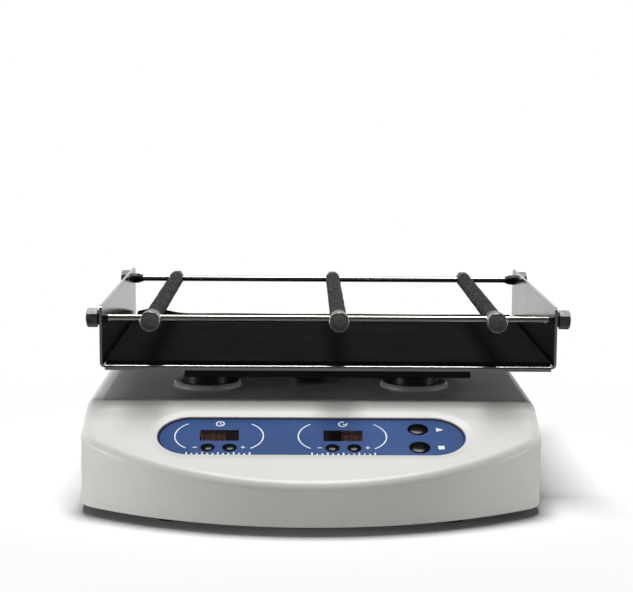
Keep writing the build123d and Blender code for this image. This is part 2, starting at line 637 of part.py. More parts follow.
def make_support_head():
    """Idler crank: a journal in the bearing, a disc in the collar and an eccentric pin."""
    foot = DECK_Z - HEAD_FLOOR + CLEAR
    journal = post(SUPPORT_BEARING_BORE - RUNNING, foot - SUPPORT_BEARING_HEIGHT, foot)
    disc = ring(HEAD_RADIUS, 0, foot, HEAD_TOP_Z, edge=0.8)
    shoulder = post(HEAD_SHOULDER, HEAD_TOP_Z, CARRIER_BOTTOM_Z - CLEAR, ORBIT)
    pin = post(HEAD_PIN_RADIUS, HEAD_TOP_Z, CARRIER_TOP_Z - CLEAR, ORBIT)
    return journal + disc + shoulder + pin


def make_power_inlet():
    """Round low-voltage socket in the rear wall."""
    edge = 0.6
    socket = turned(
        (INLET_PIN_RADIUS, -INLET_LENGTH), (INLET_RADIUS, -INLET_LENGTH), (INLET_RADIUS, 0),
        (INLET_FLANGE, 0),
        (INLET_FLANGE, BEZEL - edge), (INLET_FLANGE - edge, BEZEL), (INLET_SOCKET_RADIUS, BEZEL),
        (INLET_SOCKET_RADIUS, -INLET_SOCKET_DEPTH), (INLET_PIN_RADIUS, -INLET_SOCKET_DEPTH),
    )
    return rear_place(INLET_X) * socket


def make_inlet_contact():
    """Contact pin in the middle of the socket."""
    pin = turned(
        (0, -INLET_LENGTH - 3), (INLET_PIN_RADIUS, -INLET_LENGTH - 3),
        (INLET_PIN_RADIUS, -INLET_PIN_RADIUS),
        (INLET_PIN_RADIUS / 2, -INLET_PIN_RADIUS / 2), (0, -INLET_PIN_RADIUS / 2),
    )
    return rear_place(INLET_X) * pin


def make_switch_frame():
    """Frame of the power switch: a bezel on the rear wall and a box behind it, open to the back."""
    width, length = ROCKER_WIDTH + 2 * FRAME_BORDER, ROCKER_LENGTH + 2 * FRAME_BORDER
    frame = Box(width, length, FRAME_DEPTH, align=DOWN)
    frame += Box(width + 3, length + 3, BEZEL, align=UP)
    frame -= Pos(0, 0, -FRAME_DEPTH + 2) * Box(
        ROCKER_WIDTH + 2 * CLEAR, ROCKER_LENGTH + 2, FRAME_DEPTH + BEZEL, align=UP
    )
    frame -= towards_right * Cylinder(ROCKER_PIVOT_RADIUS + PIN_PLAY, ROCKER_WIDTH + 2 * FRAME_BORDER - 1.2)
    return rear_place(ROCKER_X) * frame


def rear_place(x):
    """Place on the rear wall, looking out of it, with the local Y pointing down."""
    return Pos(x, REAR_Y, REAR_FITTINGS_Z) * towards_back


def make_rocker():
    """Rocker of the power switch at its off position, on two stub pivots."""
    half = ROCKER_LENGTH / 2
    outline = Polyline(
        (-half, 3.2), (0, 2.0), (half, 3.2), (half, 0), (half / 2, -3.6), (-half / 2, -3.6), (-half, 0),
        close=True,
    )
    body = extrude(Plane.YZ * make_face(outline), ROCKER_WIDTH / 2, both=True)
    pivots = towards_right * Cylinder(ROCKER_PIVOT_RADIUS, ROCKER_WIDTH + 2 * FRAME_BORDER - 1.8)
    return rear_place(ROCKER_X) * Rot(-ROCKER_TILT, 0, 0) * (body + pivots)


def make_carrier():
    """Cast carrier: a floor with a raised rim, bosses for the bearing, the pins and the screws."""
    plan = RectangleRounded(CARRIER_WIDTH, CARRIER_DEPTH, CARRIER_CORNER)
    inside = RectangleRounded(
        CARRIER_WIDTH - 2 * CARRIER_WALL, CARRIER_DEPTH - 2 * CARRIER_WALL, CARRIER_CORNER - CARRIER_WALL
    )
    height = CARRIER_TOP_Z - CARRIER_BOTTOM_Z
    pan = extrude(plan, height) - Pos(0, 0, CARRIER_WALL) * extrude(inside, height)
    pan = Pos(0, 0, CARRIER_BOTTOM_Z) * pan
    pan += post(CARRIER_BEARING_RADIUS + BOSS_WALL, CARRIER_BOTTOM_Z, CARRIER_TOP_Z)
    bush_radius = HEAD_PIN_RADIUS + PIN_PLAY + BUSH_WALL
    pan += posts(SUPPORTS, bush_radius + BOSS_WALL, CARRIER_BOTTOM_Z, CARRIER_TOP_Z)
    pan += posts(TRAY_SCREWS, TRAY_SCREW_RADIUS + BOSS_WALL, CARRIER_BOTTOM_Z, CARRIER_TOP_Z)
    ribs = [
        Pos(0, y, CARRIER_BOTTOM_Z) * Box(CARRIER_WIDTH - CARRIER_WALL, CARRIER_WALL, height - 2, align=UP)
        for y in (-SUPPORT_Y, SUPPORT_Y)
    ] + [
        Pos(x, 0, CARRIER_BOTTOM_Z) * Box(CARRIER_WALL, CARRIER_DEPTH - CARRIER_WALL, height - 2, align=UP)
        for x in (-SUPPORT_X, SUPPORT_X)
    ]
    pan = pan + ribs
    pan -= post(CARRIER_BEARING_RADIUS, CARRIER_BOTTOM_Z + SHEET, CARRIER_TOP_Z + 1)
    pan -= post(CRANK_SHOULDER + 2, CARRIER_BOTTOM_Z - 1, CARRIER_TOP_Z)
    pan -= posts(SUPPORTS, bush_radius, CARRIER_BOTTOM_Z - 1, CARRIER_TOP_Z + 1)
    return pan - posts(TRAY_SCREWS, TRAY_SCREW_RADIUS, CARRIER_TOP_Z - TRAY_SCREW_LENGTH, CARRIER_TOP_Z + 1)


def make_carrier_bearing():
    """Ball bearing of the platform on the eccentric pin."""
    bottom = CARRIER_BOTTOM_Z + SHEET
    height = min(CARRIER_BEARING_HEIGHT, CARRIER_TOP_Z - bottom)
    return ring(CARRIER_BEARING_RADIUS, CRANK_PIN_RADIUS, bottom, bottom + height)


def make_carrier_bush():
    """Plain bush in the carrier for the pin of a support head."""
    bore = HEAD_PIN_RADIUS + PIN_PLAY
    return ring(bore + BUSH_WALL, bore, CARRIER_BOTTOM_Z, CARRIER_TOP_Z)


def make_tray():
    """Bent stainless tray: floor, two side panels and a turned-down lip front and back."""
    height = TRAY_HEIGHT - TRAY_LIP + SHEET
    outer = Rectangle(TRAY_WIDTH, height, align=(Align.CENTER, Align.MIN))
    outer = fillet(outer.vertices().sort_by(Axis.Y)[:2], BEND_RADIUS + SHEET)
    inner = Pos(0, SHEET) * Rectangle(TRAY_WIDTH - 2 * SHEET, height, align=(Align.CENTER, Align.MIN))
    inner = fillet(inner.vertices().sort_by(Axis.Y)[:2], BEND_RADIUS)
    tray = Pos(0, 0, TRAY_FLOOR_Z - SHEET) * extrude(Plane.XZ * (outer - inner), TRAY_DEPTH / 2, both=True)
    corners = tray.edges().filter_by(Axis.X).filter_by(lambda e: e.center().Z > TRAY_FLOOR_Z + PANEL_CORNER)
    tray = fillet(corners, PANEL_CORNER)
    for side in (-1, 1):
        lip = Pos(0, side * (TRAY_DEPTH - SHEET) / 2, TRAY_BOTTOM_Z) * Box(
            TRAY_WIDTH - 2 * (BEND_RADIUS + SHEET), SHEET, TRAY_LIP, align=UP
        )
        tray += lip
        bend = Rectangle(LIP_BEND, LIP_BEND, align=(Align.MIN, Align.MIN)) - Circle(LIP_BEND)
        bend = extrude(Plane.YZ * bend, TRAY_WIDTH / 2 - BEND_RADIUS - SHEET, both=True)
        tray -= Rot(0, 0, 90 - 90 * side) * Pos(0, TRAY_DEPTH / 2 - LIP_BEND, TRAY_FLOOR_Z - LIP_BEND) * bend
    hole = towards_right * Cylinder(RAIL_RADIUS, 2 * TRAY_WIDTH)
    holes = [Pos(0, side * RAIL_Y, RAIL_Z) * hole for side in (-1, 1)]
    return tray - holes - posts(TRAY_SCREWS, TRAY_SCREW_RADIUS, TRAY_BOTTOM_Z, TRAY_FLOOR_Z + 1)


def make_mat():
    """Rubber mat on the tray floor, with pockets over the screw heads."""
    width = TRAY_WIDTH - 2 * (SHEET + BEND_RADIUS + CLEAR)
    depth = TRAY_DEPTH - 2 * MAT_MARGIN
    mat = Pos(0, 0, TRAY_FLOOR_Z) * extrude(RectangleRounded(width, depth, 2.0), MAT_THICKNESS)
    return mat - posts(TRAY_SCREWS, TRAY_SCREW_HEAD + FIT, TRAY_FLOOR_Z - 1, TRAY_FLOOR_Z + MAT_THICKNESS / 2)


def make_tray_screws():
    """Low-head screws that hold the tray to the carrier."""
    head = MAT_THICKNESS / 2 - FIT
    screw = Rot(180, 0, 0) * pan_screw(TRAY_SCREW_RADIUS, TRAY_SCREW_HEAD, head, TRAY_SCREW_LENGTH)
    return [Pos(x, y, TRAY_FLOOR_Z) * screw for x, y in TRAY_SCREWS]


def make_rails():
    """Round rails front and back, through both side panels to the ends of their nuts."""
    length = TRAY_WIDTH + 2 * (WASHER_THICKNESS + NUT_LENGTH + RAIL_END)
    edge = 0.5
    rail = turned(
        (0, -length / 2), (RAIL_RADIUS - edge, -length / 2), (RAIL_RADIUS, edge - length / 2),
        (RAIL_RADIUS, length / 2 - edge), (RAIL_RADIUS - edge, length / 2), (0, length / 2),
    )
    return [Pos(0, side * RAIL_Y, RAIL_Z) * towards_right * rail for side in (-1, 1)]


def hexagon(flats, length, chamfer):
    """Hexagonal prism from Z 0 up, its corners chamfered at the far end and eased at the near one."""
    corner = flats / math.sqrt(3)
    prism = extrude(RegularPolygon(flats / 2, 6, major_radius=False), length)
    return prism & turned(
        (0, 0), (corner - chamfer / 2, 0), (corner, chamfer / 2), (corner, length - chamfer),
        (corner - 2 * chamfer, length), (0, length),
    )


def rail_ends(ends=(-1, 1)):
    """Location of each rail end, front and rear, on the outside of its side panel, looking outwards."""
    return [
        Pos(side * TRAY_WIDTH / 2, end * RAIL_Y, RAIL_Z) * Rot(0, 90 * side, 0)
        for side in (-1, 1)
        for end in ends
    ]


def make_rail_nuts():
    """Hexagon nuts on the rail ends."""
    nut = hexagon(NUT_FLATS, NUT_LENGTH, 0.7) - Cylinder(RAIL_RADIUS, 4 * NUT_LENGTH)
    return [place * Pos(0, 0, WASHER_THICKNESS) * nut for place in rail_ends()]


def make_rail_washers():
    """Washers between the nuts and the side panels."""
    washer = ring(WASHER_RADIUS, RAIL_RADIUS, 0, WASHER_THICKNESS, edge=0.2)
    return [place * washer for place in rail_ends()]


def rail_collar(radius, tip, length):
    """Collar that tapers along the rail from the inside of a side panel."""
    return turned(
        (RAIL_RADIUS, -SHEET), (radius, -SHEET), (radius, -SHEET - length * 0.4), (tip, -SHEET - length),
        (RAIL_RADIUS, -SHEET - length),
    )


def make_rail_collars():
    """Tapered collars on the rails inside the side panels, short ones in front and long ones behind."""
    front = rail_collar(FRONT_COLLAR_RADIUS, RAIL_COLLAR_TIP, FRONT_COLLAR_LENGTH)
    rear = rail_collar(RAIL_COLLAR_RADIUS, RAIL_COLLAR_TIP, RAIL_COLLAR_LENGTH)
    return [place * front for place in rail_ends((-1,))] + [place * rear for place in rail_ends((1,))]


def make_bar_core(x):
    """Steel core of a bar with a clamp block at each end, cross-drilled for the rail."""
    far = RAIL_Y + BLOCK_REACH
    near = RAIL_Y - BLOCK_REACH
    edge = 0.6
    core = turned(
        (0, -far), (BLOCK_END_RADIUS - edge, -far), (BLOCK_END_RADIUS, edge - far),
        (BLOCK_END_RADIUS, -near),
        (CORE_RADIUS, -near), (CORE_RADIUS, near), (BLOCK_END_RADIUS, near),
        (BLOCK_END_RADIUS, far - edge),
        (BLOCK_END_RADIUS - edge, far), (0, far),
    )
    core = towards_front * core
    bore = towards_right * Cylinder(RAIL_RADIUS + PIN_PLAY, 4 * BLOCK_END_RADIUS)
    for side in (-1, 1):
        core -= Pos(0, side * RAIL_Y) * bore
    stud = Cylinder(KNOB_STUD_RADIUS + PIN_PLAY, 2 * BLOCK_REACH, align=UP)
    core -= Pos(0, -RAIL_Y) * towards_front * stud
    return Pos(x, 0, RAIL_Z) * core


def make_bar_sleeve(x):
    """Rubber sleeve of a bar, between its clamp blocks."""
    half = RAIL_Y - BLOCK_REACH - SLEEVE_GAP
    return Pos(x, 0, RAIL_Z) * towards_front * ring(SLEEVE_RADIUS, CORE_RADIUS, -half, half, edge=0.5)


def make_end_screw(x):
    """Hexagon screw behind the rear clamp block, on a short round neck."""
    neck = Cylinder(CORE_RADIUS, END_SCREW_NECK, align=UP)
    head = Pos(0, 0, END_SCREW_NECK) * hexagon(END_SCREW_FLATS, END_SCREW_HEAD, 0.5)
    return Pos(x, RAIL_Y + BLOCK_REACH, RAIL_Z) * towards_back * (neck + head)


def make_knob(x):
    """Clamping knob with its neck and the stud that presses on the front rail."""
    back = KNOB_FACE - KNOB_LENGTH
    tip = RAIL_RADIUS + CLEAR
    edge = 0.8
    knob = turned(
        (0, tip), (KNOB_STUD_RADIUS, tip), (KNOB_STUD_RADIUS, BLOCK_REACH + CLEAR),
        (KNOB_NECK_RADIUS, BLOCK_REACH + CLEAR), (KNOB_NECK_RADIUS, back),
        (KNOB_RADIUS - edge, back), (KNOB_RADIUS, back + edge), (KNOB_RADIUS, KNOB_FACE - edge),
        (KNOB_RADIUS - edge, KNOB_FACE), (0, KNOB_FACE),
    )
    return Pos(x, -RAIL_Y, RAIL_Z) * towards_front * knob


def solids_of(shape):
    """Separate solids of a shape or a list of shapes."""
    shapes = shape if isinstance(shape, (list, tuple)) else [shape]
    return [solid for one in shapes for solid in one.solids()]


nodes = {
    "top_housing": make_top_housing(),
    "base_plate": make_base_plate(),
    "rubber_feet": [Pos(x, y) * make_foot() for x, y in FEET],
    "base_screws": make_base_screws(),
    "control_overlay": make_overlay(),
    "display_windows": [make_window(x) for x in WINDOWS],
    "display_modules": [make_display(x) for x in WINDOWS],
    "control_board": make_board(),
    "board_screws": [make_board_screw(x, up) for x, up in BOARD_SCREWS],
    "tact_switches": [make_switch(x, up) for x, up, _ in KEYS.values()],
    "bearing_block": make_bearing_block(),
    "main_bearings": make_main_bearings(),
    "motor_body": make_motor_body(),
    "motor_bracket": make_motor_bracket(),
    "motor_screws": make_motor_screws(),
    "drive_belt": make_drive_belt(),
    "support_collars": [Pos(x, y) * make_support_collar() for x, y in SUPPORTS],
    "support_bearings": [Pos(x, y) * make_support_bearing() for x, y in SUPPORTS],
    "power_inlet": make_power_inlet(),
    "inlet_contact": make_inlet_contact(),
    "switch_frame": make_switch_frame(),
    "power_rocker": make_rocker(),
    "drive_shaft": make_drive_shaft(),
    "drive_pulley": make_drive_pulley(),
    "counterweight": make_counterweight(),
    "motor_shaft": make_motor_shaft(),
    "motor_pulley": make_motor_pulley(),
}
for name, (x, up, radius) in KEYS.items():
    nodes[name] = make_key(x, up, radius)
for name, (x, y) in zip(SUPPORT_NAMES, SUPPORTS):
    nodes[f"support_head_{name}"] = Pos(x, y) * make_support_head()

platform = {
    "carrier_plate": make_carrier(),
    "carrier_bearing": make_carrier_bearing(),
    "carrier_bushes": [Pos(x, y) * make_carrier_bush() for x, y in SUPPORTS],
    "platform_tray": make_tray(),
    "tray_screws": make_tray_screws(),
    "rubber_mat": make_mat(),
    "rails": make_rails(),
    "rail_nuts": make_rail_nuts(),
    "rail_washers": make_rail_washers(),
    "rail_collars": make_rail_collars(),
}
for name, x in zip(BAR_NAMES, BAR_X):
    platform[f"{name}_bar_core"] = make_bar_core(x)
    platform[f"{name}_bar_sleeve"] = make_bar_sleeve(x)
    platform[f"{name}_bar_end_screw"] = make_end_screw(x)
    platform[f"{name}_clamp_knob"] = make_knob(x)
for name, shape in platform.items():
    nodes[name] = [platform_at_rest * solid for solid in solids_of(shape)]

# The finished part's origin is on the bench under the middle of its box.
whole = Compound(children=[solid for shape in nodes.values() for solid in solids_of(shape)]).bounding_box()
to_origin = Pos(-whole.center().X, -whole.center().Y, 0)
print(f"box {whole.size}, drive axis at {to_origin.position}")

os.makedirs("parts", exist_ok=True)
for name, shape in nodes.items():
    solids = [to_origin * solid for solid in solids_of(shape)]
    export_step(solids[0] if len(solids) == 1 else Compound(children=solids), f"parts/{name}.step")
print(f"{len(nodes)} sub-parts written")
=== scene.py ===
# %% [markdown]
# # Orbital shaker
# A bench machine: a moulded base with a control panel, and a steel tray that runs round a small circle.
# The engineering model gives every solid its place, so the lesson starts by loading it. Each Blender
# piece is then made in the same frame, in metres, and rides on one of its bodies.

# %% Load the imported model
import math
import bpy
import bmesh
from mathutils import Matrix, Vector, noise


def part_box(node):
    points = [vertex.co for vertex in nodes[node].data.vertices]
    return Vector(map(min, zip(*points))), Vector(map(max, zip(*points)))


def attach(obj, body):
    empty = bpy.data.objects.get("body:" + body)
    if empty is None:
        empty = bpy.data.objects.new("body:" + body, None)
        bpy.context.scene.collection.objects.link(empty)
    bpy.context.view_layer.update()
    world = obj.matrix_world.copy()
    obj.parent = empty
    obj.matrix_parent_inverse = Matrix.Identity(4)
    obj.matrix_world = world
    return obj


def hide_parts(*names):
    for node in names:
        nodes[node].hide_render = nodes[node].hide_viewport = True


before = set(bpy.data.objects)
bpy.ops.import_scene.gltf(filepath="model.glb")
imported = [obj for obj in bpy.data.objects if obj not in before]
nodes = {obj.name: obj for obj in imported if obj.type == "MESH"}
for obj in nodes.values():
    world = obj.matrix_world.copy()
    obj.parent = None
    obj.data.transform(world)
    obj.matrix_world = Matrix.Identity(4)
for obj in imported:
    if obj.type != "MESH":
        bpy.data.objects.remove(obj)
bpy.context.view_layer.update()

MM = 0.001

# %% [markdown]
# ## Camera
# The photograph was taken from about a metre away, level with the tray and looking slightly down. The
# camera could be aimed by hand, but its place was fitted to the tray's corners and the rails, so the
# numbers below are measured.

# %% Camera
# Width of the picture and focal length in pixels; the camera's place in metres, and its three turns.
PHOTO_WIDTH = 633
FOCAL_PIXELS = 1600.0
CAMERA_PLACE = (-0.0165, -0.9987, 0.2522)
yaw, pitch, roll = math.radians(0.56), math.radians(7.85), math.radians(0.37)
forward = Vector((math.sin(yaw) * math.cos(pitch), math.cos(yaw) * math.cos(pitch), -math.sin(pitch)))
level = Vector((math.cos(yaw), -math.sin(yaw), 0.0))
above = level.cross(forward)
right = level * math.cos(roll) + above * math.sin(roll)
up = above * math.cos(roll) - level * math.sin(roll)
lens = bpy.data.cameras.new("photo_camera")
lens.sensor_width = 36.0
lens.lens = FOCAL_PIXELS / PHOTO_WIDTH * lens.sensor_width
camera = bpy.data.objects.new("photo_camera", lens)
bpy.context.scene.collection.objects.link(camera)
turn = Matrix((right, up, -forward)).transposed().to_4x4()
camera.matrix_world = Matrix.Translation(CAMERA_PLACE) @ turn
bpy.context.scene.camera = camera
bpy.context.scene.view_settings.view_transform = "Standard"
print("lens", round(lens.lens, 1), "mm")

# %% [markdown]
# ## Helpers for materials
# Colours are written as on a web page and turned to linear light by one function. One more function adds
# any node with its settings and links. The others lay a pattern of a real size in millimetres over the
# piece's own space, so that it stays in place when the piece moves.

# %% Colour and nodes
def linear(code):
    """Linear colour of an sRGB code such as #80A0FF."""
    parts = [int(code[i:i + 2], 16) / 255 for i in (1, 3, 5)]
    return [c / 12.92 if c <= 0.04045 else ((c + 0.055) / 1.055) ** 2.4 for c in parts] + [1.0]


def add(tree, kind, inputs=None, **settings):
    """Adds one node; inputs maps a socket to a value or to the socket that feeds it."""
    made = tree.nodes.new(kind)
    for name, value in settings.items():
        setattr(made, name, value)
    for name, value in (inputs or {}).items():
        if isinstance(value, bpy.types.NodeSocket):
            tree.links.new(value, made.inputs[name])
        else:
            made.inputs[name].default_value = value
    return made


def joined(tree, operation, first, second):
    """Result of a math node on two numbers or sockets."""
    return add(tree, "ShaderNodeMath", {0: first, 1: second}, operation=operation).outputs[0]


def ranged(tree, value, start, end, low=0.0, high=1.0, ease="LINEAR"):
    """Maps a value from start and end to low and high, and holds it there beyond them."""
    limits = {"Value": value, "From Min": start, "From Max": end, "To Min": low, "To Max": high}
    return add(tree, "ShaderNodeMapRange", limits, interpolation_type=ease).outputs[0]


def finish(name, colour, roughness, metallic=0.0, ior=1.5, **sockets):
    """New material with its constants on the shader's own sockets; gives it, its tree and its shader."""
    material = bpy.data.materials.new(name)
    material.use_nodes = True
    shader = material.node_tree.nodes["Principled BSDF"]
    shader.inputs["Base Color"].default_value = linear(colour)
    shader.inputs["Roughness"].default_value = roughness
    shader.inputs["Metallic"].default_value = metallic
    shader.inputs["IOR"].default_value = ior
    for socket, value in sockets.items():
        shader.inputs[socket.replace("_", " ")].default_value = value
    return material, material.node_tree, shader


print("black and white:", linear("#000000")[:3], linear("#FFFFFF")[:3])

# %% Patterns
# Most of a noise pattern lies between these two values.
NOISE_LOW, NOISE_HIGH = 0.3, 0.7


def grain(tree, size, stretch=(1, 1, 1), detail=2.0, shift=0.0):
    """Noise with spots of a size in millimetres on the object's coordinates, stretched along an axis."""
    place = add(tree, "ShaderNodeTexCoord").outputs["Object"]
    scale = [1 / s for s in stretch]
    move = {"Vector": place, "Location": (shift, shift, shift), "Scale": scale}
    moved = add(tree, "ShaderNodeMapping", move).outputs[0]
    pattern = {"Vector": moved, "Scale": 1 / (size * MM), "Detail": detail}
    return add(tree, "ShaderNodeTexNoise", pattern).outputs[0]


def tint(tree, shader, factor, dark, light, low=NOISE_LOW, high=NOISE_HIGH):
    """Base colour that wanders between two colours."""
    ramp = add(tree, "ShaderNodeValToRGB", {"Fac": factor})
    ramp.color_ramp.elements[0].position = low
    ramp.color_ramp.elements[0].color = linear(dark)
    ramp.color_ramp.elements[1].position = high
    ramp.color_ramp.elements[1].color = linear(light)
    tree.links.new(ramp.outputs["Color"], shader.inputs["Base Color"])


def polish(tree, shader, factor, smooth, rough):
    """Roughness that follows a pattern."""
    tree.links.new(ranged(tree, factor, NOISE_LOW, NOISE_HIGH, smooth, rough), shader.inputs["Roughness"])


def relief(tree, shader, factor, depth, strength=1.0):
    """Bump of a depth in millimetres."""
    bump = add(tree, "ShaderNodeBump", {"Height": factor, "Distance": depth * MM, "Strength": strength})
    tree.links.new(bump.outputs[0], shader.inputs["Normal"])


print("patterns span", NOISE_LOW, "to", NOISE_HIGH)

# %% [markdown]
# ## Plastics
# The housing is ABS, moulded in a spark-eroded tool: warm light grey with a fine even grain that breaks up
# reflections. The panel is a polyester membrane printed from behind, so its colour lies under a satin film.
# Keys and heads are black plastics with different gloss.

# %% Housing
# Moulded ABS: the grain is 0.5 mm across, and the colour clouds very slightly over some centimetres.
housing_abs, tree, shader = finish("moulded_grained_abs", "#DCDAD6", 0.42, ior=1.53)
tint(tree, shader, grain(tree, 60, detail=1), "#D9D7D2", "#DEDCD9")
polish(tree, shader, grain(tree, 1.4, detail=3), 0.38, 0.50)
relief(tree, shader, grain(tree, 0.5, detail=1), 0.012, 0.6)

# Grey acetal of the collars: a little waxy, so it is smoother than the housing.
collar_acetal, tree, shader = finish("turned_grey_acetal", "#8A8986", 0.4, ior=1.48, Specular_IOR_Level=0.3)
tint(tree, shader, grain(tree, 8), "#82817E", "#92918E")
relief(tree, shader, grain(tree, 0.4, (6, 6, 1)), 0.01, 0.5)

# Black acetal of the rotating heads.
head_acetal, tree, shader = finish("turned_black_acetal", "#121213", 0.32, ior=1.48, Specular_IOR_Level=0.2)
polish(tree, shader, grain(tree, 2.0), 0.26, 0.42)
relief(tree, shader, grain(tree, 0.4, (6, 6, 1)), 0.01, 0.5)
print("housing, collars and heads")

# %% Panel
# Polyester membrane: a satin clear film over an even blue print, with a soft unevenness from the light.
membrane, tree, shader = finish(
    "printed_polyester_membrane", "#2C4C86", 0.34, ior=1.58, Specular_IOR_Level=0.12)
tint(tree, shader, grain(tree, 34, (2.4, 1, 1), detail=0.5), "#28477F", "#36568F")
polish(tree, shader, grain(tree, 3.0), 0.30, 0.38)
relief(tree, shader, grain(tree, 0.35), 0.003, 0.4)

# Painted shade: navy ink on the membrane stands in for the shadow that the recess's upper wall casts on it.
painted_recess_shade, tree, shader = finish("painted_recess_shade_ink", "#081126", 0.5, Specular_IOR_Level=0.1)

# Screen-printed white ink: slightly raised and a little bluish where the base shows through.
white_ink, tree, shader = finish("screen_printed_ink", "#E9EEF6", 0.5)
tint(tree, shader, grain(tree, 1.2), "#DFE6F1", "#F1F4F8")

# Glossy black ABS of the keys.
key_abs, tree, shader = finish("glossy_black_abs", "#060607", 0.14, ior=1.53, Specular_IOR_Level=0.1)
polish(tree, shader, grain(tree, 2.5), 0.12, 0.24)
relief(tree, shader, grain(tree, 1.5), 0.006, 0.3)

# Tinted acrylic of the display windows: it lets little light through, and that turned brown.
tinted_acrylic, tree, shader = finish(
    "tinted_cast_acrylic", "#BDA29B", 0.06, ior=1.49, Transmission_Weight=1.0, Specular_IOR_Level=0.07)
polish(tree, shader, grain(tree, 6.0), 0.04, 0.09)

# Black epoxy of the display boards and the unlit segments, and the brown face of the digit blocks. The
# brown face is also a painted reflection: it is laid only over the part of each window that a reflection
# brightens.
digit_epoxy, tree, shader = finish("digit_block_epoxy", "#0E0B0A", 0.45, Specular_IOR_Level=0.1)
tint(tree, shader, grain(tree, 5.0), "#0C0908", "#131010")
face_and_painted_reflection, tree, shader = finish("digit_face_and_painted_reflection", "#A8877B", 0.5, Specular_IOR_Level=0.1)
tint(tree, shader, grain(tree, 1.5), "#A08A80", "#B29B90")

# Black glass-filled nylon of the inlet, the switch and the tact switches.
black_nylon, tree, shader = finish("glass_filled_black_nylon", "#151516", 0.5)
tint(tree, shader, grain(tree, 1.0), "#121213", "#1B1B1D")
relief(tree, shader, grain(tree, 0.6), 0.01, 0.5)

# Glass-epoxy circuit board under green solder mask; the copper below gives it paler traces.
board_mask, tree, shader = finish("solder_mask_on_glass_epoxy", "#1D5A36", 0.35)
tint(tree, shader, grain(tree, 2.2, (5, 1, 1), detail=0), "#184D2E", "#2A7146", 0.45, 0.55)
print("panel materials")

# %% [markdown]
# ## Metals
# The tray is stainless sheet with a brushed face: long fine scratches along its length spread each
# highlight across them. Rails are drawn bright bar, nuts and knobs are turned, and the hidden drive is
# cast aluminium, ground bearing steel and plated sheet. All of them keep the default index of refraction.

# %% Stainless steel
# Brushed stainless sheet: scratches 0.3 mm apart and some 30 mm long, run from front to back.
brushed_stainless, tree, shader = finish("brushed_stainless_sheet", "#9C9B98", 0.16, 1.0)
scratches = grain(tree, 0.3, (1, 100, 1), detail=2)
tint(tree, shader, grain(tree, 40), "#969592", "#A2A19E")
polish(tree, shader, scratches, 0.11, 0.22)
relief(tree, shader, scratches, 0.002, 0.4)

# Drawn bright bar: faint die lines along its length.
drawn_bar, tree, shader = finish("drawn_stainless_bar", "#A19E98", 0.12, 1.0)
lines = grain(tree, 0.25, (100, 1, 1))
polish(tree, shader, lines, 0.09, 0.18)
relief(tree, shader, lines, 0.001, 0.5)

# Turned nuts: dull machined faces, darker in patches from handling.
turned_nut, tree, shader = finish("machined_stainless", "#827F78", 0.34, 1.0)
tint(tree, shader, grain(tree, 3.0), "#545352", "#6C6B69")
polish(tree, shader, grain(tree, 0.8), 0.30, 0.46)
relief(tree, shader, grain(tree, 0.5), 0.01, 0.5)

# Satin turned knobs: fine rings round the axis, which the piece's own UV map follows.
satin_knob, tree, shader = finish("satin_turned_steel", "#7D7B77", 0.36, 1.0)
around = add(tree, "ShaderNodeTexCoord").outputs["UV"]
flat = add(tree, "ShaderNodeMapping", {"Vector": around, "Scale": (0.4, 1.0, 0.0)})
rings = add(tree, "ShaderNodeTexNoise", {"Vector": flat.outputs[0], "Scale": 3500.0, "Detail": 1.0})
tint(tree, shader, grain(tree, 2.0), "#757370", "#84827E")
polish(tree, shader, grain(tree, 1.2), 0.28, 0.4)
relief(tree, shader, rings.outputs[0], 0.008, 0.5)

# Black oxide on steel: nearly black, with metal showing faintly through.
black_oxide, tree, shader = finish("black_oxide_steel", "#2B2B2B", 0.42, 0.9)
tint(tree, shader, grain(tree, 1.5), "#202020", "#3A3938")
relief(tree, shader, grain(tree, 0.6), 0.008, 0.4)
print("steel")

# %% Drive metals and coatings
# Cast aluminium: a sandy skin with small pits.
cast_aluminium, tree, shader = finish("sand_cast_aluminium", "#B5B6B5", 0.5, 1.0)
tint(tree, shader, grain(tree, 2.0), "#A8A9A8", "#BFC0BF")
relief(tree, shader, grain(tree, 0.9, detail=4), 0.05, 0.6)

# Ground bearing steel: hard, bright and even.
ground_steel, tree, shader = finish("ground_bearing_steel", "#C4C5C6", 0.16, 1.0)
polish(tree, shader, grain(tree, 0.4, (1, 1, 30)), 0.12, 0.22)

# Nickel-plated sheet of the motor and its bracket.
plated_sheet, tree, shader = finish("nickel_plated_sheet", "#A7A69F", 0.3, 1.0)
tint(tree, shader, grain(tree, 15), "#9C9B94", "#B1B0A9")
polish(tree, shader, grain(tree, 1.0, (12, 1, 1)), 0.24, 0.38)

# Zinc-plated screws and counterweight: bluish grey, with a faint yellow passivation in places.
zinc_plate, tree, shader = finish("zinc_plated_steel", "#B4B6B8", 0.33, 1.0)
tint(tree, shader, grain(tree, 3.0), "#AAB0B6", "#BDB9AA")
polish(tree, shader, grain(tree, 0.7), 0.26, 0.42)

# Sintered bronze: a matt, slightly porous brown gold.
sintered_bronze, tree, shader = finish("sintered_bronze", "#9B7440", 0.48, 1.0)
tint(tree, shader, grain(tree, 0.8), "#876335", "#AC834B")

# Black powder coat: the fine orange peel of baked powder.
powder_coat, tree, shader = finish("black_powder_coat", "#0D0D0E", 0.6, Specular_IOR_Level=0.15)
tint(tree, shader, grain(tree, 20), "#0D0D0E", "#141416")
relief(tree, shader, grain(tree, 1.2, detail=1), 0.03, 0.6)
print("drive metals")

# %% [markdown]
# ## Rubbers
# The mat, sleeves, feet and belt are all black rubber, but not the same black. The mat is smooth sheet
# rubber that lies in shade, and the sleeves are soft tube whose matt skin is scuffed grey where loads
# have rubbed it.

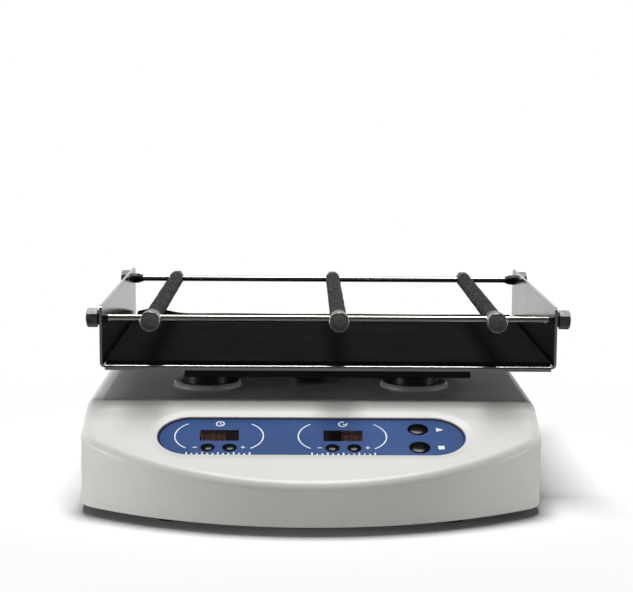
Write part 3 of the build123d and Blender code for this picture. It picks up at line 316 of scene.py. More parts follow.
# %% Rubbers
# Calendered sheet rubber: almost no gloss, with a little dust.
sheet_rubber, tree, shader = finish(
    "calendered_sheet_rubber", "#060607", 0.9, ior=1.52, Specular_IOR_Level=0.02)
tint(tree, shader, grain(tree, 25, detail=4), "#0B0B0C", "#141415")
relief(tree, shader, grain(tree, 0.7, detail=3), 0.03, 0.6)

# Extruded soft tube: scuffed along its length.
tube_rubber, tree, shader = finish(
    "extruded_tube_rubber", "#111112", 0.62, ior=1.52, Specular_IOR_Level=0.08)
tint(tree, shader, grain(tree, 2.6, (1, 2.5, 1), detail=4), "#0D0D0E", "#242425")
polish(tree, shader, grain(tree, 3.0, (1, 2, 1), shift=1.0), 0.5, 0.75)
relief(tree, shader, grain(tree, 1.1, (1, 2, 1), detail=3), 0.06, 0.7)

# Moulded rubber of the feet, and the belt's, with ribs of 1.5 mm along its path.
moulded_rubber, tree, shader = finish("moulded_black_rubber", "#161617", 0.66)
relief(tree, shader, grain(tree, 0.8), 0.03, 0.5)
belt_rubber, tree, shader = finish("ribbed_belt_rubber", "#1A1A1B", 0.6)
relief(tree, shader, grain(tree, 0.7, (1, 1, 8)), 0.05, 0.6)
print("rubbers")

# %% [markdown]
# ## Finishes on the solids
# A solid of the engineering model whose shape is right keeps its mesh and only gets its material here.

# %% Assign
def named(end):
    """Names of the nodes that end so."""
    return [n for n in nodes if n.endswith(end)]


FINISHES = {
    housing_abs: ["top_housing"],
    collar_acetal: ["support_collars"],
    head_acetal: [n for n in nodes if n.startswith("support_head")],
    membrane: ["control_overlay"],
    tinted_acrylic: ["display_windows"],
    key_abs: ["power_rocker"] + named("_button"),
    black_nylon: ["power_inlet", "switch_frame", "tact_switches"],
    board_mask: ["control_board"],
    brushed_stainless: ["platform_tray"],
    drawn_bar: ["rails"],
    turned_nut: ["rail_nuts", "inlet_contact"],
    black_oxide: ["rail_washers", "rail_collars"] + named("_bar_core") + named("_bar_end_screw"),
    cast_aluminium: ["bearing_block", "drive_pulley", "motor_pulley"],
    ground_steel: ["main_bearings", "support_bearings", "carrier_bearing", "drive_shaft", "motor_shaft"],
    plated_sheet: ["motor_body", "motor_bracket"],
    zinc_plate: ["base_screws", "board_screws", "motor_screws", "tray_screws", "counterweight"],
    sintered_bronze: ["carrier_bushes"],
    powder_coat: ["base_plate", "carrier_plate"],
    moulded_rubber: ["rubber_feet"],
    belt_rubber: ["drive_belt"],
    sheet_rubber: ["rubber_mat"],
    digit_epoxy: ["display_modules"],
    tube_rubber: named("_bar_sleeve"),
    satin_knob: named("_clamp_knob"),
}
for material, names in FINISHES.items():
    for name in names:
        solid = nodes[name]
        if not solid.material_slots:
            solid.data.materials.append(material)
        for slot in solid.material_slots:
            slot.material = material
left = set(nodes) - {n for names in FINISHES.values() for n in names}
print("without a finish:", sorted(left))

# %% [markdown]
# ## Helpers for pieces
# Every piece is built where it belongs, so its object stays at the origin. The panel has a frame of its
# own: across, up the slope and out of it.

# %% Place a piece
def piece(name, mesh, material, body, replaced=(), smooth=35):
    """Object of a finished mesh or bmesh, riding on a body and standing for the solids it replaces."""
    if isinstance(mesh, bmesh.types.BMesh):
        form = mesh
        bmesh.ops.recalc_face_normals(form, faces=form.faces)
        mesh = bpy.data.meshes.new(name)
        form.to_mesh(mesh)
        form.free()
    mesh.name = name
    mesh.shade_smooth()
    mesh.set_sharp_from_angle(angle=math.radians(smooth))
    mesh.materials.clear()
    mesh.materials.append(material)
    made = bpy.data.objects.new(name, mesh)
    bpy.context.scene.collection.objects.link(made)
    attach(made, body)
    if replaced:
        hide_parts(*replaced)
    return made


# One turn of a lathe form takes this length of its map, in metres.
TURN_ON_MAP = 0.03


def lathe(form, outline, place, steps=48):
    """Turns an outline of (radius, height) in millimetres about the place's Z, with a UV map along it."""
    layer = form.loops.layers.uv.verify()
    rings, run, before = [], [0.0], None
    for radius, height in outline:
        count = 1 if radius == 0 else steps
        corners = []
        for k in range(count):
            angle = math.tau * k / steps
            local = Vector((radius * math.cos(angle), radius * math.sin(angle), height)) * MM
            corners.append(form.verts.new(place @ local))
        rings.append(corners)
        if before:
            run.append(run[-1] + math.dist(before, (radius, height)) * MM)
        before = (radius, height)
    for i in range(len(rings) - 1):
        a, b = rings[i], rings[i + 1]
        for k in range(steps):
            n = (k + 1) % steps
            around = [a[k % len(a)], a[n % len(a)], b[n % len(b)], b[k % len(b)]]
            turns = [k, k + 1, k + 1, k]
            runs = [run[i], run[i], run[i + 1], run[i + 1]]
            kept = [j for j in range(4) if around[j] not in around[:j]]
            face = form.faces.new([around[j] for j in kept])
            for loop, j in zip(face.loops, kept):
                loop[layer].uv = (turns[j] / steps * TURN_ON_MAP, runs[j])
    return form


def arc(x, y, radius, start, end, steps=24):
    """Points on a circle between two angles in degrees."""
    angles = [math.radians(start + (end - start) * i / steps) for i in range(steps + 1)]
    return [(x + radius * math.cos(a), y + radius * math.sin(a)) for a in angles]


def along_y(point):
    """Place of a lathe form whose axis runs from the rear to the front through a point."""
    return Matrix.Translation(point) @ Matrix.Rotation(math.pi / 2, 4, "X")


SIDES = ("left", "middle", "right")
# The panel's slope and the middle of its lower edge.
SLOPE = math.radians(20.5)
PANEL_FRONT = Vector((-0.010, -0.141978, 0.029))
across = Vector((1, 0, 0))
uphill = Vector((0, math.cos(SLOPE), math.sin(SLOPE)))
outward = Vector((0, -math.sin(SLOPE), math.cos(SLOPE)))
panel = Matrix.Translation(PANEL_FRONT) @ Matrix((across, uphill, outward)).transposed().to_4x4()
print("helpers ready; the panel looks along", [round(c, 3) for c in outward])

# %% [markdown]
# ## Keys
# The solids of the keys are simple cones. Real caps are domed, which gives each one a small round
# highlight, so they are turned again on a lathe with a finer outline.

# %% Keys
# Heights out of the panel's plane, in millimetres: the membrane's top, how far a cap stands over it, the
# cap's collar under the membrane and the stem that meets its switch.
FILM_TOP, CROWN = -1.8, 0.9
COLLAR_TOP, COLLAR_BOTTOM, STEM_BOTTOM = -5.7, -6.9, -7.3
COLLAR_RIM, STEM_RADIUS = 1.2, 1.5
SMALL_KEY, LARGE_KEY = 3.8, 5.8
KEYS = {
    "time_minus": (39.6, SMALL_KEY), "time_plus": (39.6, SMALL_KEY), "speed_minus": (39.6, SMALL_KEY),
    "speed_plus": (39.6, SMALL_KEY), "start": (59.4, LARGE_KEY), "stop": (40.4, LARGE_KEY),
}
for name, (height, radius) in KEYS.items():
    quarter = [math.radians(d) for d in range(0, 91, 10)]
    dome = [(radius * math.sin(a), FILM_TOP + CROWN * math.cos(a)) for a in quarter]
    rest = [(radius, COLLAR_TOP), (radius + COLLAR_RIM, COLLAR_TOP), (radius + COLLAR_RIM, COLLAR_BOTTOM)]
    rest += [(STEM_RADIUS, COLLAR_BOTTOM), (STEM_RADIUS, STEM_BOTTOM), (0, STEM_BOTTOM)]
    low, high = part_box(f"{name}_button")
    centre = panel.inverted() @ ((low + high) / 2)
    cap = lathe(bmesh.new(), dome + rest, panel @ Matrix.Translation((centre.x, height * MM, 0)))
    piece(f"{name}_key_cap", cap, key_abs, f"{name}_key", [f"{name}_button"], smooth=50)
print(len(KEYS), "key caps")

# %% [markdown]
# ## Print on the panel
# White brackets stand round each display, with a minus and a plus beside its keys. A clock, a turning
# arrow, a scale, a triangle and a square say what each part is for. The print is a layer of ink 0.04 mm
# thick, so it is drawn as thin raised strips.

# %% Strips
INK, INK_LIFT = 0.04, 0.01


def strip(form, points, width, closed=False):
    """Raised strip of ink along (across, up) points in millimetres; a list gives a width for each point."""
    widths = width if isinstance(width, list) else [width] * len(points)
    rows = []
    for i, (x, y) in enumerate(points):
        a = points[i - 1] if i or closed else points[0]
        b = points[(i + 1) % len(points)] if i + 1 < len(points) or closed else points[-1]
        along = (Vector(b) - Vector(a)).normalized()
        side = Vector((-along.y, along.x)) * widths[i] / 2
        row = [(x + side.x, y + side.y, INK), (x - side.x, y - side.y, INK)]
        row += [(x - side.x, y - side.y, 0), (x + side.x, y + side.y, 0)]
        corners = [Vector((p, q, FILM_TOP + h + INK_LIFT)) for p, q, h in row]
        rows.append([form.verts.new(panel @ (c * MM)) for c in corners])
    for i in range(len(rows) if closed else len(rows) - 1):
        a, b = rows[i], rows[(i + 1) % len(rows)]
        for j in range(4):
            form.faces.new((a[j], b[j], b[(j + 1) % 4], a[(j + 1) % 4]))
    if not closed:
        form.faces.new(rows[0])
        form.faces.new(rows[-1])


print("ink", INK, "mm thick")

# %% Panel print
# Places across and up the panel and widths of lines, in millimetres.
TIME_CENTRE, SPEED_CENTRE = -53.3, 18.2
BRACKET_MIDDLE, BRACKET_RADIUS, BRACKET_LINE = 51.6, 14.7, 0.75
TICKS, TICK_PITCH, TICK_FOOT, TICK_LINE = 13, 3, 31.9, 0.9
LONG_TICK, SHORT_TICK = 2.9, 2.0
ICON_HEIGHT, ICON_RADIUS, ICON_LINE, SIGN_LINE = 64.4, 2.3, 0.8, 0.6
START_HEIGHT, STOP_HEIGHT = 59.0, 40.4
MINUS_OFFSET, PLUS_OFFSET, SIGN_HALF = 13.5, 14.0, 1.3
MINUS_HEIGHT, PLUS_HEIGHT = 39.7, 39.9
ink = bmesh.new()
for left_edge, right_edge, centre in ((-79.0, -27.8, TIME_CENTRE), (-7.7, 43.4, SPEED_CENTRE)):
    strip(ink, arc(left_edge + BRACKET_RADIUS, BRACKET_MIDDLE, BRACKET_RADIUS, 121, 239), BRACKET_LINE)
    strip(ink, arc(right_edge - BRACKET_RADIUS, BRACKET_MIDDLE, BRACKET_RADIUS, -59, 59), BRACKET_LINE)
    minus, plus = centre - MINUS_OFFSET, centre + PLUS_OFFSET
    strip(ink, [(minus - SIGN_HALF, MINUS_HEIGHT), (minus + SIGN_HALF, MINUS_HEIGHT)], SIGN_LINE)
    strip(ink, [(plus - SIGN_HALF, PLUS_HEIGHT), (plus + SIGN_HALF, PLUS_HEIGHT)], SIGN_LINE)
    strip(ink, [(plus, PLUS_HEIGHT - SIGN_HALF), (plus, PLUS_HEIGHT + SIGN_HALF)], SIGN_LINE)
    for i in range(TICKS):
        x = centre + TICK_PITCH * (i - TICKS // 2)
        tall = LONG_TICK if i % 3 == 0 else SHORT_TICK
        strip(ink, [(x, TICK_FOOT), (x, TICK_FOOT + tall)], TICK_LINE)
    strip(ink, [(centre - 18.3, 31.7), (centre + 18.3, 31.7)], 0.5)
# A clock, a turning arrow, a filled triangle and a filled square.
strip(ink, arc(TIME_CENTRE, ICON_HEIGHT, ICON_RADIUS, 0, 345, 23), ICON_LINE, closed=True)
strip(ink, [(TIME_CENTRE, 65.8), (TIME_CENTRE, 64.3), (-52.1, 63.6)], SIGN_LINE)
strip(ink, arc(SPEED_CENTRE, ICON_HEIGHT, ICON_RADIUS, 70, 350), ICON_LINE)
strip(ink, [(18.4, 64.2), (20.4, 64.2), (21.0, 65.7)], ICON_LINE)
strip(ink, [(72.6, START_HEIGHT), (73.6, START_HEIGHT), (76.9, START_HEIGHT)], [4.0, 3.1, 0.2])
strip(ink, [(72.6, STOP_HEIGHT), (76.2, STOP_HEIGHT)], 3.6)
print("white print:", len(ink.faces), "faces")
piece("panel_print", ink, white_ink, "base")

# %% Panel painted shade
# A strip of painted shade follows the upper edge of the membrane, where the recess's upper wall shades it,
# and thins out towards both lower ends.
END_CENTRE, SHADE_MIDDLE, SHADE_RADIUS, SHADE_STEPS = 69.3, 51.0, 18.9, 14
shade_strip = bmesh.new()
painted_shade_line = arc(-END_CENTRE, SHADE_MIDDLE, SHADE_RADIUS, 215, 90, SHADE_STEPS)
painted_shade_line += arc(END_CENTRE, SHADE_MIDDLE, SHADE_RADIUS, 90, -20, SHADE_STEPS)
widths = [0.2 + 1.4 * min(1, i / 6) for i in range(SHADE_STEPS + 1)]
strip(shade_strip, painted_shade_line, widths + widths[::-1])
print("border:", len(shade_strip.faces), "faces")
piece("panel_edge_painted_shade", shade_strip, painted_recess_shade, "base")

# %% [markdown]
# ## Screws
# Cross-recessed pan-head screws hold the base plate, the board, the motor and the tray. One node tree
# puts a head and a shank on each point; the points, and the reach of each shank, come from the solids
# that the screws replace.

# %% Screw tree
# Shares of the head's radius: the crown's radius and the length of a slot. The middle of the slots lies
# SLOT_LEVEL head heights from the seat, so that they cut 0.4 of the head's height.
CROWN_SHARE, SLOT_SHARE, SLOT_LEVEL = 0.62, 1.15, -1.1
HEAD_SIDES, SHANK_SIDES = 32, 24
SOCKETS = {"Geometry": "Geometry", "Head Radius": "Float", "Head Height": "Float", "Shank Radius": "Float",
           "Slot Width": "Float", "Turn": "Vector", "Material": "Material"}


def lifted(tree, form, unit, count):
    """Moves a form up by a number of units."""
    place = add(tree, "ShaderNodeCombineXYZ", {2: joined(tree, "MULTIPLY", unit, count)}).outputs[0]
    return add(tree, "GeometryNodeTransform", {"Geometry": form, "Translation": place}).outputs[0]


def screw_tree():
    """Node tree: a cross-recessed head and a shank on each point."""
    tree = bpy.data.node_groups.new("cross_recessed_screws", "GeometryNodeTree")
    for name, kind in SOCKETS.items():
        tree.interface.new_socket(name, in_out="INPUT", socket_type=f"NodeSocket{kind}")
    tree.interface.new_socket("Geometry", in_out="OUTPUT", socket_type="NodeSocketGeometry")
    given = tree.nodes.new("NodeGroupInput").outputs
    points, radius, height = given["Geometry"], given["Head Radius"], given["Head Height"]
    half = joined(tree, "MULTIPLY", height, 0.5)
    crown = joined(tree, "MULTIPLY", radius, CROWN_SHARE)
    span = joined(tree, "MULTIPLY", radius, SLOT_SHARE)
    head = add(tree, "GeometryNodeMeshBoolean", operation="UNION", solver="EXACT")
    for lower, level in ((radius, -1.0), (crown, -2.0)):
        sizes = {"Vertices": HEAD_SIDES, "Radius Top": radius, "Radius Bottom": lower, "Depth": half}
        cone = add(tree, "GeometryNodeMeshCone", sizes).outputs["Mesh"]
        tree.links.new(lifted(tree, cone, half, level), head.inputs["Mesh 2"])
    recess = add(tree, "GeometryNodeMeshBoolean", {"Mesh 1": head.outputs[0]}, operation="DIFFERENCE",
                 solver="EXACT")
    for wide, deep in ((span, given["Slot Width"]), (given["Slot Width"], span)):
        size = add(tree, "ShaderNodeCombineXYZ", {0: wide, 1: deep, 2: height}).outputs[0]
        cut = add(tree, "GeometryNodeMeshCube", {"Size": size}).outputs["Mesh"]
        tree.links.new(lifted(tree, cut, height, SLOT_LEVEL), recess.inputs["Mesh 2"])
    turn = add(tree, "FunctionNodeEulerToRotation", {0: given["Turn"]}).outputs[0]
    heads = add(tree, "GeometryNodeInstanceOnPoints",
                {"Points": points, "Instance": recess.outputs[0], "Rotation": turn})
    sizes = {"Vertices": SHANK_SIDES, "Radius": given["Shank Radius"], "Depth": 1.0}
    post = add(tree, "GeometryNodeMeshCylinder", sizes).outputs["Mesh"]
    post = add(tree, "GeometryNodeTransform", {"Geometry": post, "Translation": (0, 0, 0.5)}).outputs[0]
    reach = add(tree, "GeometryNodeInputNamedAttribute", {"Name": "reach"}, data_type="FLOAT")
    tall = add(tree, "ShaderNodeCombineXYZ", {0: 1.0, 1: 1.0, 2: reach.outputs["Attribute"]}).outputs[0]
    posts = add(tree, "GeometryNodeInstanceOnPoints",
                {"Points": points, "Instance": post, "Rotation": turn, "Scale": tall})
    both = add(tree, "GeometryNodeJoinGeometry")
    for part in (posts, heads):
        tree.links.new(part.outputs[0], both.inputs[0])
    real = add(tree, "GeometryNodeRealizeInstances", {"Geometry": both.outputs[0]}).outputs[0]
    coat = add(tree, "GeometryNodeSetMaterial", {"Geometry": real, "Material": given["Material"]})
    tree.links.new(coat.outputs[0], tree.nodes.new("NodeGroupOutput").inputs[0])
    return tree


tree = screw_tree()
print("screw tree of", len(tree.nodes), "nodes")

# %% Solids of a node
def islands(solid):
    """The separate solids of a node, each as a list of its points."""
    form = bmesh.new()
    form.from_mesh(solid.data)
    form.transform(solid.matrix_world)
    bmesh.ops.remove_doubles(form, verts=form.verts, dist=1e-7)
    seen, groups = set(), []
    for start in form.verts:
        if start in seen:
            continue
        seen.add(start)
        group, rest = [], [start]
        while rest:
            v = rest.pop()
            group.append(v.co.copy())
            for near in (e.other_vert(v) for e in v.link_edges):
                if near not in seen:
                    seen.add(near)
                    rest.append(near)
        groups.append(group)
    form.free()
    return groups


print("tray screws:", len(islands(nodes["tray_screws"])))

# %% Screws
# A slot's width as a share of the head's radius. All points further from the axis than the shank's radius
# times RIM_FACTOR belong to the head.
SLOT_WIDTH_SHARE, RIM_FACTOR = 0.28, 1.05
# Body, slot, shank radius in millimetres, and the turn about X that stands a screw on its head.
SCREWS = {
    "base_screws": ("base", "zinc_screw", 1.5, 0.0),
    "board_screws": ("base", "zinc_screw", 1.25, SLOPE),
    "motor_screws": ("base", "zinc_screw", 1.5, math.pi),
    "tray_screws": ("platform", "nut_steel", 2.0, math.pi),
}
inputs = {item.name: item.identifier for item in tree.interface.items_tree if item.in_out == "INPUT"}
for name, (body, slot, shank, turn) in SCREWS.items():
    back = Matrix.Rotation(-turn, 3, "X")
    places, reaches, wide, tall = [], [], 0, 0
    for points in islands(nodes[name]):
        points = [back @ p for p in points]
        axis = Vector([(min(p[i] for p in points) + max(p[i] for p in points)) / 2 for i in (0, 1)])
        rim = [p for p in points if (p.xy - axis).length > RIM_FACTOR * shank * MM]
        seat = max(p.z for p in rim)
        wide = max((p.xy - axis).length for p in rim)
        tall = seat - min(p.z for p in rim)
        places.append(back.inverted() @ Vector((axis.x, axis.y, seat)))
        reaches.append(max(p.z for p in points) - seat)
    cloud = bpy.data.meshes.new(f"{name}_points")
    cloud.from_pydata(places, [], [])
    reach = cloud.attributes.new("reach", "FLOAT", "POINT")
    reach.data.foreach_set("value", reaches)
    holder = bpy.data.objects.new(f"{name}_points", cloud)
    bpy.context.scene.collection.objects.link(holder)
    modifier = holder.modifiers.new("screws", "NODES")
    modifier.node_group = tree
    sizes = {"Head Radius": wide, "Head Height": tall, "Shank Radius": shank * MM,
             "Slot Width": SLOT_WIDTH_SHARE * wide, "Turn": (turn, 0.0, 0.0), "Material": zinc_plate}
    for socket, value in sizes.items():
        modifier[inputs[socket]] = value
    shown = holder.evaluated_get(bpy.context.evaluated_depsgraph_get())
    mesh = bpy.data.meshes.new_from_object(shown)
    bpy.data.objects.remove(holder)
    piece(f"{name}_recessed", mesh, zinc_plate, body, [name])
    print(name, len(places), "screws,", len(mesh.polygons), "faces")

# %% [markdown]
# ## Carrier front
# Seen from the front, the black plate under the tray reaches further forward than its solid: a folded
# front edge.

# %% Carrier front edge
EDGE_DEPTH, EDGE_OVERLAP = 10.0 * MM, 0.2 * MM
low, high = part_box("carrier_plate")
edge = bmesh.new()
made = bmesh.ops.create_cube(edge, size=1.0)["verts"]
span = Vector((high.x - low.x, EDGE_DEPTH + EDGE_OVERLAP, high.z - low.z))
centre = Vector(((low.x + high.x) / 2, low.y + (EDGE_OVERLAP - EDGE_DEPTH) / 2, (low.z + high.z) / 2))
bmesh.ops.transform(edge, matrix=Matrix.Translation(centre) @ Matrix.Diagonal((*span, 1)), verts=made)
bmesh.ops.bevel(edge, geom=edge.edges[:], offset=0.5 * MM, segments=3, affect="EDGES")
piece("carrier_front_edge", edge, powder_coat, "platform")
print("carrier edge", [round(c / MM, 1) for c in span])

# %% [markdown]
# ## Displays
# Behind each tinted window sits a black board with a brown block of seven-segment digits. Its unlit
# segments are darker than its face. The brown face is also a painted reflection: it covers only the part of
# each window that a reflection brightens, so the first leaves its right end dark, the second its left end.

# %% Digit blocks
# Ends of each segment, in steps across and up from the middle of a digit.
SEGMENTS = [((-1, 2), (1, 2)), ((-1, 0), (1, 0)), ((-1, -2), (1, -2)), ((-1, 0), (-1, 2)), ((1, 0), (1, 2)),
            ((-1, -2), (-1, 0)), ((1, -2), (1, 0))]
STEP_ACROSS, STEP_UP, SEGMENT_HALF = 1.9, 1.75, 0.35
DIGITS, DIGIT_MIDDLE, EASED = 2, 52.3, 0.08
# Half sizes across and up, then heights out of the panel's plane.
BOARD_HALF, BOARD_HALF_UP, BLOCK_HALF_UP = 10.8, 5.1, 4.7
BOARD_BACK, BOARD_FACE, BLOCK_FACE = -12.0, -6.3, -5.75
SEGMENT_BACK, SEGMENT_FACE = -5.8, -5.65


def slab(form, x0, x1, y0, y1, z0, z1):
    """Box on the panel in millimetres, its upper edges eased."""
    made = bmesh.ops.create_cube(form, size=1.0)["verts"]
    size = Matrix.Diagonal(((x1 - x0) * MM, (y1 - y0) * MM, (z1 - z0) * MM, 1))
    middle = Matrix.Translation(Vector(((x0 + x1) / 2, (y0 + y1) / 2, (z0 + z1) / 2)) * MM)
    bmesh.ops.transform(form, matrix=panel @ middle @ size, verts=made)
    edges = list({e for v in made for e in v.link_edges})
    bmesh.ops.bevel(form, geom=edges, offset=min(EASED, (z1 - z0) / 3) * MM, segments=2, affect="EDGES")


blocks, painted_reflection_faces = bmesh.new(), bmesh.new()
# The ends of each brown face are painted reflection: they follow the brightened part of its window.
for left_end, right_end, centre in ((-64.0, -49.8, TIME_CENTRE), (17.4, 29.0, SPEED_CENTRE)):
    bottom, top = DIGIT_MIDDLE - BOARD_HALF_UP, DIGIT_MIDDLE + BOARD_HALF_UP
    slab(blocks, centre - BOARD_HALF, centre + BOARD_HALF, bottom, top, BOARD_BACK, BOARD_FACE)
    bottom, top = DIGIT_MIDDLE - BLOCK_HALF_UP, DIGIT_MIDDLE + BLOCK_HALF_UP
    slab(painted_reflection_faces, left_end, right_end, bottom, top, BOARD_FACE, BLOCK_FACE)
    pitch = (right_end - left_end) / DIGITS
    for d in range(DIGITS):
        x, y = left_end + pitch * (d + 0.5), DIGIT_MIDDLE
        for (ax, ay), (bx, by) in SEGMENTS:
            in_x, in_y = (SEGMENT_HALF, -SEGMENT_HALF) if ay == by else (-SEGMENT_HALF, SEGMENT_HALF)
            x0, x1 = x + STEP_ACROSS * min(ax, bx) + in_x, x + STEP_ACROSS * max(ax, bx) - in_x
            y0, y1 = y + STEP_UP * min(ay, by) + in_y, y + STEP_UP * max(ay, by) - in_y
            slab(blocks, x0, x1, y0, y1, SEGMENT_BACK, SEGMENT_FACE)
piece("display_boards", blocks, digit_epoxy, "base", ["display_modules"])
piece("digit_faces_painted_reflection", painted_reflection_faces, face_and_painted_reflection, "base")
print("digit blocks in place")

# %% [markdown]
# ## Clamping knobs
# Each knob is turned from bar: a rounded rim round a flat satin face, a neck and a stud. The lathe helper
# also lays the map that the fine turning rings follow.

# %% Knobs
# Outline of (radius, distance in front of the rail's axis), in millimetres.
KNOB = [(0, 2.3), (2, 2.3), (2, 4.8), (3.6, 4.8), (3.6, 6.4), (5.2, 6.4)]
KNOB += arc(5.3, 7.1, 0.7, -90, 0, 5) + [(6.0, 11.0)] + arc(5.3, 15.3, 0.7, 0, 90, 5)
KNOB += [(4.4, 16.0), (4.1, 15.9), (2.0, 15.86), (0, 15.85)]
STUD_END = KNOB[0][1] * MM
for side in SIDES:
    low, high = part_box(f"{side}_clamp_knob")
    place = along_y(((low.x + high.x) / 2, high.y + STUD_END, (low.z + high.z) / 2))
    knob = lathe(bmesh.new(), KNOB, place, 64)
    piece(f"{side}_knob", knob, satin_knob, f"{side}_knob", [f"{side}_clamp_knob"], smooth=40)
print("knobs turned")

# %% [markdown]
# ## Sleeves
# The soft tube on each bar isn't quite straight or round: it swells and dips by a tenth of a millimetre
# and more where it was pushed on. It is a lathe form whose points are then moved by smooth noise.

# %% Sleeves
# Radii of the bore, of the tube and of its rounded ends, in millimetres, and the rings along one half.
BORE, TUBE, TUBE_ROUND, RINGS = 3.0, 5.0, 0.8, 30
# Only points outside SKIN swell. The noise has NOISE_ROUND bumps per metre across and NOISE_ALONG along
# the tube, and every tube reads it at another place.
SKIN, SWELL, SHRINK = 3.5 * MM, 0.16 * MM, 0.35
NOISE_ROUND, NOISE_ALONG, NOISE_STEP = 90, 60, 7
for n, side in enumerate(SIDES):
    low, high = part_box(f"{side}_bar_sleeve")
    middle = (low + high) / 2
    half = (high.y - low.y) / 2 / MM
    outline = [(BORE, -half)] + arc(TUBE - TUBE_ROUND, TUBE_ROUND - half, TUBE_ROUND, -90, 0, 5)
    outline += [(TUBE, half * t / RINGS) for t in range(1 - RINGS, RINGS)]
    outline += arc(TUBE - TUBE_ROUND, half - TUBE_ROUND, TUBE_ROUND, 0, 90, 5)
    outline += [(BORE, half), (BORE, 0), (BORE, -half)]
    tube = lathe(bmesh.new(), outline, along_y(middle), 32)
    bmesh.ops.remove_doubles(tube, verts=tube.verts, dist=1e-6)
    for v in tube.verts:
        away = Vector((v.co.x - middle.x, 0, v.co.z - middle.z))
        if away.length > SKIN:
            along = v.co.y * NOISE_ALONG + NOISE_STEP * n
            swell = noise.noise(Vector((v.co.x * NOISE_ROUND, along, v.co.z * NOISE_ROUND)))
            v.co += away.normalized() * (swell - SHRINK) * SWELL
    replaced = [f"{side}_bar_sleeve"]
    piece(f"{side}_sleeve", tube, tube_rubber, f"{side}_bar", replaced, smooth=60)
print("sleeves drawn")

# %% [markdown]
# ## Mat
# The mat lies in the tray by its own weight. Its rear left corner has curled up a few millimetres, as cut
# sheet rubber does. A grid is bent by a rule and then gets its thickness.

# %% Mat
# The curl's height, its place and width from the left and its depth from the rear, in millimetres; then a
# slight wave along the rear edge.
CURL_HEIGHT, CURL_PLACE, CURL_WIDTH, CURL_DEPTH = 3.6, 12, 13, 9
WAVE_HEIGHT, WAVE_DEPTH, WAVE_RATE = 0.25, 6, 70
low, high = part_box("rubber_mat")
COLUMNS, ROWS = 90, 66
sheet = bmesh.new()
grid = []
for j in range(ROWS + 1):
    for i in range(COLUMNS + 1):
        x = low.x + (high.x - low.x) * i / COLUMNS
        y = low.y + (high.y - low.y) * j / ROWS
        from_left, from_rear = (x - low.x) / MM, (high.y - y) / MM
        corner = math.exp(-((from_left - CURL_PLACE) / CURL_WIDTH) ** 2)
        corner *= math.exp(-(from_rear / CURL_DEPTH) ** 2)
        wave = math.exp(-(from_rear / WAVE_DEPTH) ** 2) * (0.5 + 0.5 * math.sin(x * WAVE_RATE))
        curl = CURL_HEIGHT * corner + WAVE_HEIGHT * wave
        grid.append(sheet.verts.new((x, y, high.z + curl * MM)))
for j in range(ROWS):
    for i in range(COLUMNS):
        k = j * (COLUMNS + 1) + i
        sheet.faces.new((grid[k], grid[k + 1], grid[k + COLUMNS + 2], grid[k + COLUMNS + 1]))
thick = high.z - low.z
bottom = bmesh.ops.extrude_face_region(sheet, geom=sheet.faces[:])
for v in (g for g in bottom["geom"] if isinstance(g, bmesh.types.BMVert)):
    v.co.z -= thick
piece("curled_mat", sheet, sheet_rubber, "platform", ["rubber_mat"], smooth=50)
print("mat", round(thick / MM, 1), "mm thick")

# %% [markdown]
# ## Studio
# In the photograph one broad lamp hangs over the machine: its top is bright, and its front, which faces
# the dark side of the room, is a third darker. The ground is white, and two low side lamps brighten the
# ends of the bowed front. The world is painted to match: white near the ground behind, dark in front and
# halfway up, and white again right overhead, so that bright metal shows both.

# %% Floor
# Matt white paper: near the machine it only takes its light and shadow, further off it glows to an even
# white. Reflections and the light it throws back see it as grey, but for its glow behind the machine.
FLOOR_REFLECTED, FLOOR_BOUNCED = 0.35, 0.58
# The glow starts and is full at these distances from the middle, in metres. Reflections only see it at the
# rear, at REAR_GLOW of its strength.
GLOW_START, GLOW_FULL = 0.16, 0.42
REAR_GLOW, REAR_START, REAR_FULL = 0.62, -0.05, 0.2
floor_form = bmesh.new()
bmesh.ops.create_grid(floor_form, x_segments=2, y_segments=2, size=6.0)
floor_mesh = bpy.data.meshes.new("studio_floor")
floor_form.to_mesh(floor_mesh)
floor_form.free()
floor = bpy.data.objects.new("studio_floor", floor_mesh)
bpy.context.scene.collection.objects.link(floor)
paper, tree, shader = finish("matt_white_paper", "#FFFFFF", 1.0, Specular_IOR_Level=0.0)
path = add(tree, "ShaderNodeLightPath").outputs
tone = ranged(tree, path["Is Diffuse Ray"], 0.0, 1.0, FLOOR_REFLECTED, FLOOR_BOUNCED)
tree.links.new(joined(tree, "MAXIMUM", tone, path["Is Camera Ray"]), shader.inputs["Base Color"])
place = add(tree, "ShaderNodeTexCoord").outputs["Object"]
distance = add(tree, "ShaderNodeVectorMath", {0: place}, operation="LENGTH").outputs["Value"]
far = ranged(tree, distance, GLOW_START, GLOW_FULL, ease="SMOOTHSTEP")
depth = add(tree, "ShaderNodeSeparateXYZ", {0: place}).outputs["Y"]
rear = ranged(tree, depth, REAR_START, REAR_FULL, 0.0, REAR_GLOW)
rear = joined(tree, "MULTIPLY", rear, path["Is Glossy Ray"])
glow = joined(tree, "MULTIPLY", joined(tree, "MAXIMUM", rear, path["Is Camera Ray"]), far)
white = add(tree, "ShaderNodeEmission", {"Color": (1, 1, 1, 1), "Strength": 1.0})
blend = add(tree, "ShaderNodeMixShader", {0: glow, 1: shader.outputs[0], 2: white.outputs[0]})
tree.links.new(blend.outputs[0], tree.nodes["Material Output"].inputs["Surface"])
floor_mesh.materials.append(paper)
print("floor glows beyond", GLOW_START, "m")

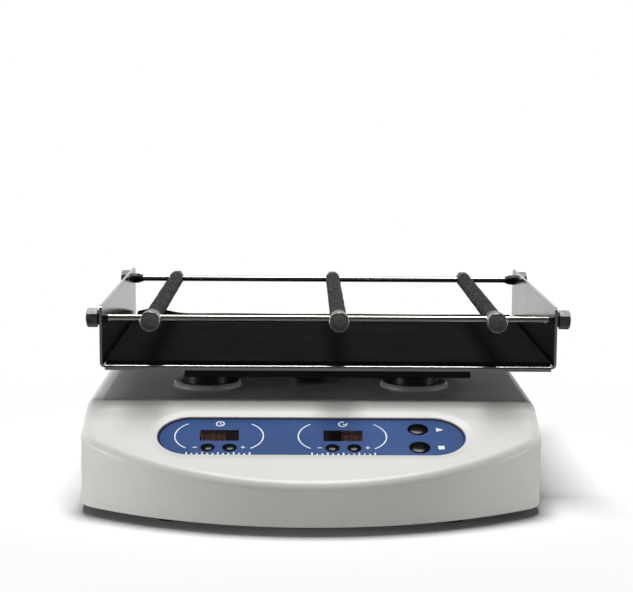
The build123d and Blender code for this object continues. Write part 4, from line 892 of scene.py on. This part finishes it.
# %% World
def ground_rays(tree):
    """1 for camera, glossy and transmission rays, 0 for the light that falls on the pieces."""
    path = add(tree, "ShaderNodeLightPath").outputs
    both = joined(tree, "MAXIMUM", path["Is Camera Ray"], path["Is Glossy Ray"])
    return joined(tree, "MAXIMUM", both, path["Is Transmission Ray"])


# The direction of a ray gives its tone: 1 low behind and right overhead, DARK_ROOM elsewhere. Light that
# falls on the pieces gets only the share AMBIENT of it.
DARK_ROOM, AMBIENT = 0.09, 0.12
# Each pair of numbers is where a tone starts and ends, as the sine of the ray's angle.
BEHIND, LOW_SKY, OVERHEAD = (-0.35, 0.25), (0.3, 0.65), (0.88, 0.99)
world = bpy.data.worlds.new("studio_world")
bpy.context.scene.world = world
world.use_nodes = True
tree = world.node_tree
back = tree.nodes["Background"]
back.inputs["Color"].default_value = (1, 1, 1, 1)
way = add(tree, "ShaderNodeSeparateXYZ", {0: add(tree, "ShaderNodeTexCoord").outputs["Generated"]}).outputs
behind = ranged(tree, way["Y"], *BEHIND, ease="SMOOTHSTEP")
low_sky = ranged(tree, way["Z"], *LOW_SKY, 1.0, 0.0, "SMOOTHSTEP")
overhead = ranged(tree, way["Z"], *OVERHEAD, ease="SMOOTHSTEP")
pale = joined(tree, "MAXIMUM", joined(tree, "MULTIPLY", behind, low_sky), overhead)
tone = ranged(tree, pale, 0.0, 1.0, DARK_ROOM, 1.0)
share = ranged(tree, ground_rays(tree), 0.0, 1.0, AMBIENT, 1.0)
tree.links.new(joined(tree, "MULTIPLY", tone, share), back.inputs["Strength"])
print("world:", len(tree.nodes), "nodes")

# %% Lamps
def lamp(name, place, target, size, power):
    """Square area lamp aimed at a point."""
    light = bpy.data.lights.new(name, "AREA")
    light.shape = "SQUARE"
    light.size = size
    light.energy = power
    made = bpy.data.objects.new(name, light)
    bpy.context.scene.collection.objects.link(made)
    made.location = place
    made.rotation_euler = (Vector(target) - Vector(place)).to_track_quat("-Z", "Y").to_euler()


lamp("overhead_softbox", (0.0, 0.18, 1.5), (0, 0, 0.05), 0.62, 22)
lamp("left_softbox", (-1.5, -0.50, 0.11), (0, 0, 0.03), 0.2, 12)
lamp("right_softbox", (1.5, -0.50, 0.11), (0, 0, 0.03), 0.2, 8)
print("studio lit")
